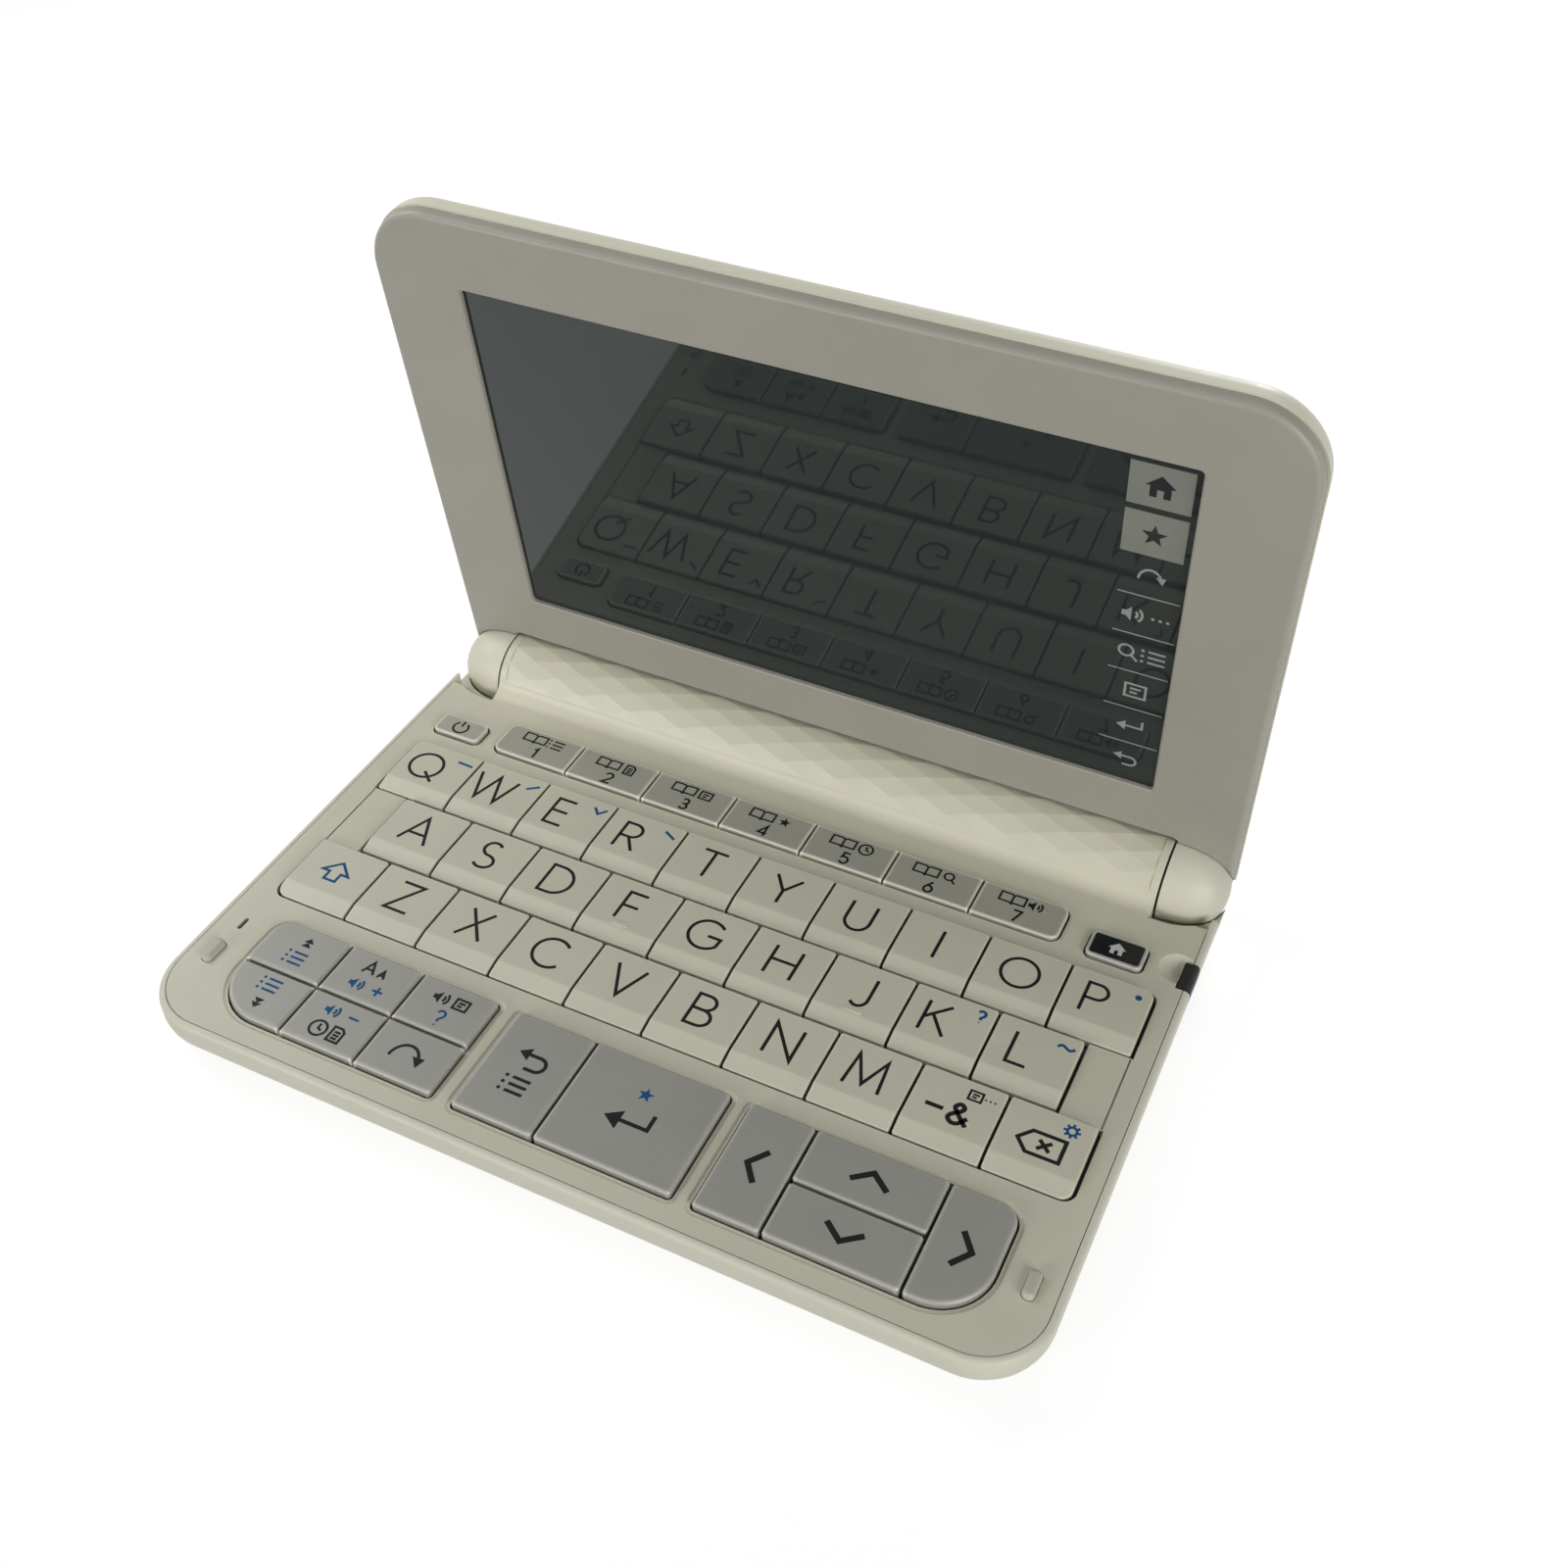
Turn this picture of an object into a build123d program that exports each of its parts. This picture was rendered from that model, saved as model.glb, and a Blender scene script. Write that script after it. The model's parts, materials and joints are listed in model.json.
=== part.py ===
"""Clamshell electronic dictionary: keyboard base, display lid and faceted battery barrel.

Frame: +X runs along the hinge to the user's right, +Y from the front edge to the hinge, +Z up.
The origin is the centre of the footprint on the table and all sizes are in millimetres.
The lid stands open at lid_opening. Its sketches lie on lid_plane: local x along the hinge,
local y from the hinge to the free edge, local z towards the user.
"""

import os
from math import cos, hypot, radians, sin

from build123d import *

os.makedirs("parts", exist_ok=True)

# ---- overall sizes ----
base_width = 148.0
base_depth = 105.5
barrel_radius = 7.85
hinge_cap_length = 10.6
panel_height = 8.1
foot_height = 0.4
lid_opening = 81.5
lid_setback = 0.75

# ---- base housing ----
front_corner_radius = 11.0
underside_round = 5.5
rim_width = 1.1
rim_round = 0.9
case_wall = 2.3
case_floor = 1.4
cavity_round = 3.2
panel_thickness = 1.5
ramp_reach = 10.35
recess_lead = 0.35
recess_straight = 2.2
recess_radius = 8.9
recess_reach = 4.1
pocket_drop = 2.8

# ---- hinge barrel ----
barrel_wall = 0.6
barrel_end_wall = 1.2
facet_columns = 12
facet_end_band = 1.3
facet_angle = 13.0
facet_first_angle = 20.0
facet_rows = 8
facet_seat_depth = 0.3
facet_root = 0.1
shaft_radius = 2.0
shaft_overlap = 7.4
shaft_length = 15.0
clutch_gap = 0.15
clutch_length = 6.6
shaft_hole_radius = 2.6
cap_fullness = 2.35
cap_profile_steps = 12

# ---- batteries ----
cell_gap = 0.2
cell_end_play = 2.2
nub_radius = 2.6
nub_height = 1.0
contact_setback = 12.0
contact_thickness = 0.5
contact_width = 8.0
contact_height = 10.0
spring_radius = 3.0
spring_height = 1.35
bump_height = 0.5
bay_divider = 1.2
cover_end_overlap = 0.4
cover_grip_count = 5
cover_grip_pitch = 1.6
cover_grip_width = 0.7
cover_grip_depth = 0.25
cover_grip_length = 14.0

# ---- clearances ----
seam_gap = 0.12
slide_gap = 0.2
key_side_gap = 0.35
cap_gap = 0.4
running_gap = 0.05
seat_gap = 0.1

# ---- letter keys ----
keyboard_shift = 0.5
letter_margin = 5.0
letter_front_gap = 4.5
letter_rear_gap = 2.8
letter_gap = 0.5
letter_row_gap = 0.95
letter_rise = 0.8
letter_skirt = 3.0
letter_skirt_rise = 0.1
letter_crease_round = 2.0
letter_edge_round = 0.2
letter_corner = 0.4
block_corner = 1.8
middle_row_step = 0.5
key_travel = 0.6
key_depth = 1.2
homing_bump_radius = 0.35
homing_bump_length = 3.0

# ---- silver keys ----
silver_front = 5.3
silver_depth = 19.35
silver_rise = 0.95
silver_edge_round = 0.5
silver_gap = 0.45
silver_corner = 0.6
silver_outer_corner = 8.5
silver_back_corner = 3.0
function_margin = 11.1
function_gap = 3.8
back_left = -18.0
back_width = 13.6
enter_right = 18.5
arrow_gap = 3.4
arrow_margin = 9.9
arrow_side_width = 10.4
carrier_thickness = 0.5
moat_width = 0.75
moat_depth = 0.15
moat_slope = 68

# ---- top row keys ----
content_left_margin = 18.5
content_right_margin = 22.05
content_rear_gap = 4.7
content_depth = 7.6
content_columns = 7
content_rise = 0.7
content_corner = 1.6
small_key_offset = 2.2
small_key_rise = 0.8
small_key_corner = 1.1
power_margin = 10.5
power_width = 9.3
power_depth = 4.8
home_margin = 13.0
home_width = 9.3
home_depth = 5.5

# ---- base details ----
pad_margin = 5.0
pad_y = 14.4
pad_length = 4.7
pad_width = 1.9
pad_rise = 1.0
pad_edge_round = 0.7
pad_seat = 0.6
mic_margin = 5.3
mic_y = 21.3
mic_length = 2.6
mic_width = 0.8
mic_depth = 1.0
groove_width = 0.3
groove_depth = 0.3
rubber_thickness = 0.5
board_thickness = 1.0
board_margin = 1.0
board_rear_gap = 3.9
boss_radius = 2.4
boss_margin = 10.0
boss_front_margin = 27.0
boss_rows = (8.0, 9.0, 30.0, 50.0)
boss_rear_gap = 21.3
speaker_margin = 32.0
speaker_y = 22.0
speaker_radius = 9.0
speaker_height = 2.6
speaker_rim = 1.4
sound_hole_radius = 0.6
sound_hole_ring = 3.2
foot_radius = 3.2
foot_seat = 0.5
foot_front_margin = 14.0
foot_front = 10.5
foot_rear_margin = 18.0
foot_rear_gap = 3.8
screw_head_radius = 1.9
screw_head_height = 0.7
screw_shank_radius = 0.8
screw_shank_length = 2.6

# ---- stylus, ports ----
stylus_width = 5.4
stylus_thickness = 2.7
stylus_length = 80.0
stylus_tip_length = 6.0
stylus_tip_width = 1.2
stylus_round = 0.6
stylus_head_length = 2.3
stylus_head_width = 5.8
stylus_lift = 0.25
guide_wall = 0.8
scoop_margin = 3.1
scoop_offset = 1.0
scoop_radius = 3.2
scoop_depth = 1.0
port_y = 35.0
port_length = 23.2
port_height = 3.4
port_sill = 2.6
port_cover_thickness = 1.7
usb_y = 41.0
usb_width = 7.6
usb_height = 2.4
usb_length = 5.6
card_y = 29.5
card_width = 11.0
card_height = 1.4
card_length = 9.0
socket_setback = 2.5
socket_wall = 0.3
jack_y = 64.0
jack_bore_radius = 1.8
jack_bore_length = 10.0
jack_nose_radius = 2.1
jack_nose_setback = 1.0
jack_body_setback = 5.6
jack_body_width = 6.6
jack_body_length = 8.0
jack_body_height = 4.1

# ---- lid ----
bezel_depth = 1.4
seam_depth = 3.6
frame_inset = 0.35
frame_edge_round = 0.8
frame_skin = 0.9
frame_wall = 1.3
lid_top_corner = 11.8
lid_notch_corner = 1.2
lid_back_round = 3.0
lid_wall = 1.5
lid_floor = 1.3
lid_root = 8.1
lid_root_chamfer = 0.6
window_side_margin = 15.65
window_top_margin = 12.5
window_root = 18.4
window_corner = 0.8
window_bevel = 0.25
glass_margin = 2.2
glass_thickness = 1.1
lcd_margin = 1.0
lcd_rear_gap = 0.45

# ---- derived places ----
front_y = -base_depth / 2
side_x = base_width / 2
quarter_turn = 90
hinge_y = base_depth / 2 - barrel_radius
hinge_z = foot_height + barrel_radius
panel_z = foot_height + panel_height
plate_bottom_z = panel_z - panel_thickness
floor_z = foot_height + case_floor
ramp_start = base_depth - barrel_radius - ramp_reach
lid_reach = base_depth - barrel_radius - lid_setback
barrel_half_length = side_x - hinge_cap_length
facet_pitch = 2 * (barrel_half_length - facet_end_band) / facet_columns
bay_radius = barrel_radius - barrel_wall
bay_half_length = barrel_half_length - barrel_end_wall
cell_radius = bay_radius - cell_gap
clutch_radius = bay_radius - clutch_gap
cap_start = barrel_half_length + cap_gap
cap_end = side_x
shaft_start = barrel_half_length - shaft_overlap
clutch_start = bay_half_length - clutch_length - seat_gap * 2
contact_inner_x = barrel_half_length - contact_setback
cell_length = contact_inner_x - cell_end_play
cover_half_length = contact_inner_x - cover_end_overlap
key_bottom_z = panel_z - key_depth
rubber_top_z = key_bottom_z - key_travel - seat_gap
board_top_z = rubber_top_z - rubber_thickness
board_bottom_z = board_top_z - board_thickness
stylus_bottom_z = floor_z + stylus_lift
content_front = ramp_start - content_rear_gap - content_depth
small_key_y = content_front + small_key_offset
stylus_y = small_key_y
scoop_x = side_x - scoop_margin
scoop_y = stylus_y + scoop_offset
port_inner_x = side_x - port_cover_thickness
socket_start = side_x - socket_setback
jack_nose_x = side_x - jack_nose_setback
jack_body_x = side_x - jack_body_setback
jack_z = floor_z + seat_gap + jack_body_height / 2
port_z = foot_height + port_sill + port_height / 2
row_lengths = (10, 9, 10)
letter_pitch = 2 * (side_x - letter_margin) / row_lengths[0]
letter_front = silver_front + silver_depth + letter_front_gap
letter_row_pitch = (content_front - letter_rear_gap - letter_front) / len(row_lengths)
block_left = keyboard_shift - letter_pitch * row_lengths[0] / 2
block_right = keyboard_shift + letter_pitch * row_lengths[0] / 2
back_right = back_left + back_width
enter_left = back_right + silver_gap
function_left = -side_x + function_margin
function_width = back_left - function_gap - function_left
arrow_left = enter_right + arrow_gap
arrow_right = side_x - arrow_margin
arrow_middle_left = arrow_left + arrow_side_width + silver_gap
arrow_middle_right = arrow_right - arrow_side_width - silver_gap
silver_rear = silver_front + silver_depth
silver_middle = (silver_front + silver_rear) / 2
content_left = -side_x + content_left_margin
content_pitch = (side_x - content_right_margin - content_left) / content_columns
content_right = content_left + content_columns * content_pitch - silver_gap
power_x = -side_x + power_margin
home_x = side_x - home_margin
pad_x = side_x - pad_margin
mic_x = -side_x + mic_margin
speaker_x = -side_x + speaker_margin
board_rear = ramp_start - board_rear_gap
boss_x = side_x - boss_margin
boss_spots = [
    (-boss_x, boss_rows[2]),
    (-boss_x, boss_rows[3]),
    (0, boss_rows[0]),
    (0, boss_rows[3]),
    (side_x - boss_front_margin, boss_rows[1]),
    (boss_x, ramp_start - boss_rear_gap),
]
foot_front_x = side_x - foot_front_margin
foot_rear_x = side_x - foot_rear_margin
foot_rear = ramp_start - foot_rear_gap
foot_spots = [
    (-foot_front_x, foot_front),
    (foot_front_x, foot_front),
    (-foot_rear_x, foot_rear),
    (foot_rear_x, foot_rear),
]
window_width = 2 * (side_x - window_side_margin)
window_height = lid_reach - window_root - window_top_margin
hinge_axis = Axis((0, hinge_y, hinge_z), (1, 0, 0))
tilt = radians(180 - lid_opening)
lid_plane = Plane(origin=(0, hinge_y, hinge_z), x_dir=(1, 0, 0), z_dir=(0, -sin(tilt), cos(tilt)))
hinge_section = Plane(origin=(0, hinge_y, hinge_z), x_dir=(1, 0, 0), z_dir=(0, -1, 0))


# ---- helpers ----
def at(x, from_front):
    """Plan position given by x and the distance behind the front edge."""
    return (x, front_y + from_front)


def level(z):
    """Horizontal sketch plane at height z."""
    return Plane.XY.offset(z)


def across(x):
    """Sketch plane square to the hinge at x; its local axes are Y and Z."""
    return Plane.YZ.offset(x)


def save(piece, label):
    """Label a finished piece and write it as its own file."""
    piece.part.label = label
    export_step(piece.part, f"parts/{label}.step")


def corner_box(x0, x1, y0, y1, corners=(0, 0, 0, 0)):
    """Rectangle with its own radius for the front left, front right, rear right and rear left."""
    with BuildSketch() as box:
        with Locations(((x0 + x1) / 2, (y0 + y1) / 2)):
            Rectangle(x1 - x0, y1 - y0)
        places = ((x0, y0), (x1, y0), (x1, y1), (x0, y1))
        for place, radius in zip(places, corners):
            if radius > 0:
                fillet(box.vertices().sort_by_distance((*place, 0))[0], radius)
    return box.sketch


def even_box(x0, x1, y0, y1, radius):
    """Rectangle with one radius on all four corners."""
    return corner_box(x0, x1, y0, y1, (radius, radius, radius, radius))


def discs(spots, radius):
    """Equal circles at plan positions measured from the front edge."""
    with BuildSketch() as plan:
        for spot in spots:
            with Locations(at(*spot)):
                Circle(radius)
    return plan.sketch


def ring_disc(radius):
    """Circle round the hinge axis, for sketches on an across() plane."""
    with BuildSketch() as disc:
        with Locations((hinge_y, hinge_z)):
            Circle(radius)
    return disc.sketch


def base_outline(inset):
    """Plan of the base in front of the hinge axis, drawn inwards by an inset."""
    radius = front_corner_radius - inset
    corners = (radius, radius, 0, 0)
    return corner_box(-side_x + inset, side_x - inset, front_y + inset, hinge_y, corners)


def cap_recess(growth):
    """Plan of the two rear corners left open for the hinge caps, grown by a wall thickness."""
    x0 = barrel_half_length - growth
    y0 = front_y + ramp_start - recess_lead - growth
    bend_x = barrel_half_length + recess_straight
    radius = recess_radius + growth
    with BuildSketch() as recess:
        with BuildLine():
            Line((x0, y0), (bend_x, y0))
            RadiusArc((bend_x, y0), (bend_x + radius, y0 + radius), -radius)
            Polyline(
                (bend_x + radius, y0 + radius),
                (bend_x + radius, base_depth),
                (x0, base_depth),
                (x0, y0),
            )
        make_face()
        add(corner_box(bend_x, bend_x + radius, y0 + recess_reach, base_depth))
        mirror(about=Plane.YZ)
    return recess.sketch


def cap_domes(growth):
    """Both domed hinge caps as bodies of revolution, grown outwards by a clearance."""
    x0 = cap_start - growth
    radius = barrel_radius + growth
    points = []
    for step in range(cap_profile_steps + 1):
        angle = radians(quarter_turn * step / cap_profile_steps)
        along = sin(angle) ** (2 / cap_fullness)
        out = cos(angle) ** (2 / cap_fullness) if step < cap_profile_steps else 0
        points.append((x0 + (cap_end + growth - x0) * along, radius * out))
    with BuildPart() as domes:
        with BuildSketch(hinge_section):
            with BuildLine():
                Spline(*points, tangents=((1, 0), (0, -1)))
                Polyline(points[-1], (x0, 0), points[0])
            make_face()
        revolve(axis=hinge_axis)
        mirror(about=Plane.YZ)
    return domes.part


def outer_body():
    """Outside shape of the base in front of the hinge axis, with its rounded edges."""
    with BuildPart() as body:
        with BuildSketch(level(foot_height)):
            add(base_outline(0))
        extrude(amount=panel_height)
        rear = body.edges().filter_by_position(Axis.Y, hinge_y - seam_gap, hinge_y + seam_gap)
        outer = body.edges() - rear
        fillet(outer.group_by(Axis.Z)[0], underside_round)
        rear = body.edges().filter_by_position(Axis.Y, hinge_y - seam_gap, hinge_y + seam_gap)
        outer = body.edges() - rear
        fillet(outer.group_by(Axis.Z)[-1], rim_round)
    return body.part


def inner_cavity():
    """Room inside the base in front of the battery bay, with a rounded floor edge."""
    x1 = side_x - case_wall
    y0 = front_y + case_wall
    y1 = hinge_y - bay_radius - case_wall
    radius = front_corner_radius - case_wall
    with BuildPart() as room:
        with BuildSketch(level(floor_z)):
            add(corner_box(-x1, x1, y0, y1, (radius, radius, 0, 0)))
            add(cap_recess(case_wall), mode=Mode.SUBTRACT)
        extrude(amount=panel_height)
        front_edges = room.edges().group_by(Axis.Z)[0].filter_by_position(Axis.Y, y0 - 1, 0)
        fillet(front_edges, cavity_round)
    return room.part


# ---- bottom case ----
def build_bottom_case(shell, room, pocket):
    """Curved tray with a rim round the panel and the lower half of the battery barrel."""
    with BuildPart() as case:
        add(shell)
        with BuildSketch(across(-barrel_half_length)):
            add(ring_disc(barrel_radius))
        extrude(amount=2 * barrel_half_length)
        with BuildSketch(level(plate_bottom_z)):
            add(base_outline(rim_width))
        extrude(amount=4 * barrel_radius, mode=Mode.SUBTRACT)
        with BuildSketch(level(hinge_z)):
            with Locations((0, hinge_y + barrel_radius)):
                Rectangle(2 * side_x, 2 * barrel_radius)
        extrude(amount=2 * barrel_radius, mode=Mode.SUBTRACT)
        with BuildSketch(level(panel_z - pocket_drop)):
            add(cap_recess(0))
        extrude(amount=4 * barrel_radius, mode=Mode.SUBTRACT)
        add(room, mode=Mode.SUBTRACT)
        add(pocket, mode=Mode.SUBTRACT)
        add(bay_hollow(), mode=Mode.SUBTRACT)
        add(side_openings(), mode=Mode.SUBTRACT)
        add(inner_ribs())
        add(underside_cuts(), mode=Mode.SUBTRACT)
    save(case, "base_bottom_case")


def bay_hollow():
    """Hollow of the barrel between its dividers, the shaft holes and the battery cover opening."""
    divider_x = contact_inner_x + contact_thickness
    reach = cover_half_length + seam_gap
    with BuildPart() as hollow:
        with BuildSketch(across(-bay_half_length)):
            add(ring_disc(bay_radius))
        extrude(amount=2 * bay_half_length)
        for x in (-divider_x - bay_divider, divider_x):
            with BuildSketch(across(x)):
                add(ring_disc(barrel_radius))
                with Locations((hinge_y, hinge_z + barrel_radius)):
                    Rectangle(4 * barrel_radius, 2 * barrel_radius, mode=Mode.SUBTRACT)
                with Locations((hinge_y - barrel_radius, plate_bottom_z + barrel_radius)):
                    Rectangle(2 * barrel_radius, 2 * barrel_radius, mode=Mode.SUBTRACT)
            extrude(amount=bay_divider, mode=Mode.SUBTRACT)
        with BuildSketch(across(-side_x)):
            add(ring_disc(shaft_hole_radius))
        extrude(amount=2 * side_x)
        with BuildSketch(across(-reach)):
            with Locations((hinge_y + barrel_radius, hinge_z - barrel_radius)):
                Rectangle(2 * barrel_radius, 2 * barrel_radius)
        extrude(amount=2 * reach)
    return hollow.part


def side_openings():
    """Stylus slot and port opening in the right wall, jack hole in the left wall."""
    slot_z = stylus_bottom_z - slide_gap
    slot_length = stylus_length + slide_gap
    with BuildPart() as openings:
        with BuildSketch(level(slot_z)):
            with Locations(at(side_x + rim_width - slot_length / 2, stylus_y)):
                Rectangle(slot_length + 2 * rim_width, stylus_width + 2 * slide_gap)
        extrude(amount=stylus_thickness + 2 * slide_gap)
        with BuildSketch(level(slot_z)):
            add(head_plan(slide_gap))
        extrude(amount=2 * panel_height)
        with BuildSketch(across(side_x - case_wall - rim_width)):
            with Locations((front_y + port_y, port_z)):
                Rectangle(port_length + 2 * seam_gap, port_height + 2 * seam_gap)
        extrude(amount=2 * case_wall)
        with BuildSketch(across(-side_x - rim_width)):
            with Locations((front_y + jack_y, jack_z)):
                Circle(jack_nose_radius + seat_gap)
        extrude(amount=side_x + rim_width - jack_body_x)
    return openings.part


def head_plan(growth):
    """Plan of the stylus head at the right edge; it runs past the side of the base."""
    y0 = front_y + stylus_y - stylus_head_width / 2 - growth
    y1 = front_y + stylus_y + stylus_head_width / 2 + growth
    return corner_box(side_x - stylus_head_length - growth, side_x + rim_width, y0, y1)


def inner_ribs():
    """Posts that carry the circuit board, a ring round the speaker and the stylus guides."""
    guide_offset = stylus_width / 2 + slide_gap + guide_wall / 2
    guide_length = stylus_length - case_wall - slide_gap
    with BuildPart() as ribs:
        with BuildSketch(level(floor_z)):
            add(discs(boss_spots, boss_radius))
        extrude(amount=board_bottom_z - floor_z)
        with BuildSketch(level(floor_z)):
            with Locations(at(speaker_x, speaker_y)):
                Circle(speaker_radius + speaker_rim)
                Circle(speaker_radius + seat_gap, mode=Mode.SUBTRACT)
        extrude(amount=speaker_height)
        with BuildSketch(level(floor_z)):
            for side in (-1, 1):
                with Locations(at(side_x - case_wall - guide_length / 2, stylus_y + side * guide_offset)):
                    Rectangle(guide_length, guide_wall)
        extrude(amount=stylus_lift + stylus_thickness)
    return ribs.part


def underside_cuts():
    """Seats for the rubber feet, counterbores for the screws, and the sound holes."""
    with BuildPart() as cuts:
        with BuildSketch(level(foot_height)):
            add(discs(foot_spots, foot_radius + seat_gap))
        extrude(amount=foot_seat)
        with BuildSketch(level(foot_height)):
            add(discs(boss_spots, screw_head_radius + seat_gap))
        extrude(amount=screw_head_height)
        with BuildSketch(level(foot_height)):
            add(discs(boss_spots, screw_shank_radius + running_gap))
        extrude(amount=screw_head_height + screw_shank_length + seat_gap)
        with BuildSketch(level(foot_height)):
            with Locations(at(speaker_x, speaker_y)):
                Circle(sound_hole_radius)
                with PolarLocations(sound_hole_ring, 6):
                    Circle(sound_hole_radius)
        extrude(amount=case_floor)
    return cuts.part


# ---- keyboard panel ----
def letter_well():
    """Plan of the letter key opening, stepped in beside the shorter middle row."""
    y0 = front_y + letter_front - key_side_gap
    y1 = front_y + letter_front + 3 * letter_row_pitch - letter_row_gap + key_side_gap
    step_y0 = front_y + letter_front + letter_row_pitch - letter_row_gap + key_side_gap
    step_y1 = front_y + letter_front + 2 * letter_row_pitch - key_side_gap
    step_x0 = block_left + middle_row_step * letter_pitch - key_side_gap
    step_x1 = block_right - middle_row_step * letter_pitch + key_side_gap
    with BuildSketch() as well:
        corner = block_corner + key_side_gap
        add(even_box(block_left - key_side_gap, block_right + key_side_gap, y0, y1, corner))
        add(corner_box(block_left - letter_pitch, step_x0, step_y0, step_y1), mode=Mode.SUBTRACT)
        add(corner_box(step_x1, block_right + letter_pitch, step_y0, step_y1), mode=Mode.SUBTRACT)
    return well.sketch


def silver_groups(growth):
    """Plan of the three silver key groups, grown by a gap."""
    y0 = front_y + silver_front - growth
    y1 = front_y + silver_rear + growth
    small = silver_corner + growth
    rear = silver_back_corner + growth
    outer = silver_outer_corner + growth
    function_right = function_left + function_width + growth
    with BuildSketch() as groups:
        add(corner_box(function_left - growth, function_right, y0, y1, (outer, small, small, rear)))
        add(even_box(back_left - growth, enter_right + growth, y0, y1, small))
        add(corner_box(arrow_left - growth, arrow_right + growth, y0, y1, (small, outer, rear, small)))
    return groups.sketch


def small_key_plan(x, width, depth, growth):
    """Plan of a small stand-alone key of the top row, grown by a gap."""
    y = front_y + small_key_y
    half_x = width / 2 + growth
    half_y = depth / 2 + growth
    return even_box(x - half_x, x + half_x, y - half_y, y + half_y, small_key_corner + growth)


def content_plan(growth):
    """Plan of the strip of content keys, grown by a gap."""
    y0 = front_y + content_front - growth
    y1 = front_y + content_front + content_depth + growth
    return even_box(content_left - growth, content_right + growth, y0, y1, content_corner + growth)


def barrel_point(x, angle, radius):
    """Point near the hinge barrel; the angle rises from the front over the top to the rear."""
    return (x, hinge_y - radius * cos(radians(angle)), hinge_z + radius * sin(radians(angle)))


def upper_section():
    """Section of the panel's rear: concave ramp, upper half of the barrel, open bay below."""
    ramp_y = front_y + ramp_start
    run = hinge_y - ramp_y
    drop = panel_z - hinge_z
    ramp_radius = (run**2 + drop**2 - barrel_radius**2) / (2 * (barrel_radius - drop))
    share = barrel_radius / hypot(run, drop + ramp_radius)
    touch = (hinge_y - run * share, hinge_z + (drop + ramp_radius) * share)
    top = (hinge_y, hinge_z + barrel_radius)
    rear = (hinge_y + barrel_radius, hinge_z)
    with BuildSketch() as section:
        with BuildLine():
            Polyline(rear, (hinge_y, hinge_z), (hinge_y, plate_bottom_z), (ramp_y, plate_bottom_z), (ramp_y, panel_z))
            RadiusArc((ramp_y, panel_z), touch, -ramp_radius)
            RadiusArc(touch, top, barrel_radius)
            RadiusArc(top, rear, barrel_radius)
        make_face()
    return section.sketch


def facet_zone():
    """Section of the sector of the barrel that carries the facets."""
    last_angle = facet_first_angle + facet_rows * facet_angle
    reach = 3 * barrel_radius
    points = [(hinge_y, hinge_z)]
    for angle in (facet_first_angle, (facet_first_angle + last_angle) / 2, last_angle):
        points.append(barrel_point(0, angle, reach)[1:])
    with BuildSketch() as zone:
        add(ring_disc(barrel_radius + barrel_wall))
        add(ring_disc(barrel_radius - facet_seat_depth), mode=Mode.SUBTRACT)
        Polygon(*points, align=None, mode=Mode.INTERSECT)
    return zone.sketch


def lattice_point(row, column, radius):
    """Corner of the diamond lattice; odd rows are shifted by half a pitch."""
    x = (column - facet_columns / 2 + (row % 2) / 2) * facet_pitch
    return barrel_point(x, facet_first_angle + row * facet_angle, radius)


def diamond_faces():
    """Outer triangles: every diamond is folded along its short way round the barrel."""
    radius = barrel_radius
    faces = []
    for row in range(1, facet_rows):
        shift = row % 2
        for column in range(facet_columns + shift):
            low = lattice_point(row - 1, column, radius)
            high = lattice_point(row + 1, column, radius)
            if column >= shift:
                faces.append((low, high, lattice_point(row, column - shift, radius)))
            if column < facet_columns:
                faces.append((low, lattice_point(row, column + 1 - shift, radius), high))
    for column in range(facet_columns):
        right = column + 1
        faces.append([lattice_point(0, column, radius), lattice_point(0, right, radius), lattice_point(1, column, radius)])
        last = facet_rows
        tip = lattice_point(last - 1, column, radius)
        faces.append([lattice_point(last, column, radius), lattice_point(last, right, radius), tip])
    return faces


def facet_skin():
    """Closed solid under the diamond facets: triangles outside, flat strips inside."""
    root = barrel_radius - facet_seat_depth - facet_root
    faces = diamond_faces()
    for row in range(facet_rows):
        even_columns = (0, facet_columns)
        faces.append([barrel_corner(row, side, root) for side in even_columns]
                     + [barrel_corner(row + 1, side, root) for side in reversed(even_columns)])
    for row in (0, facet_rows):
        outer = [lattice_point(row, column, barrel_radius) for column in range(facet_columns + 1)]
        faces.append(outer + [barrel_corner(row, facet_columns, root), barrel_corner(row, 0, root)])
    for side in (0, facet_columns):
        outer = [lattice_point(row, side, barrel_radius) for row in range(0, facet_rows + 1, 2)]
        inner = [barrel_corner(row, side, root) for row in range(facet_rows, -1, -1)]
        faces.append(outer + inner)
    return Solid(Shell([Face(Wire.make_polygon(points)) for points in faces]))


def barrel_corner(row, column, radius):
    """Point on a row of the lattice without the half-pitch shift."""
    x = (column - facet_columns / 2) * facet_pitch
    return barrel_point(x, facet_first_angle + row * facet_angle, radius)


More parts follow.
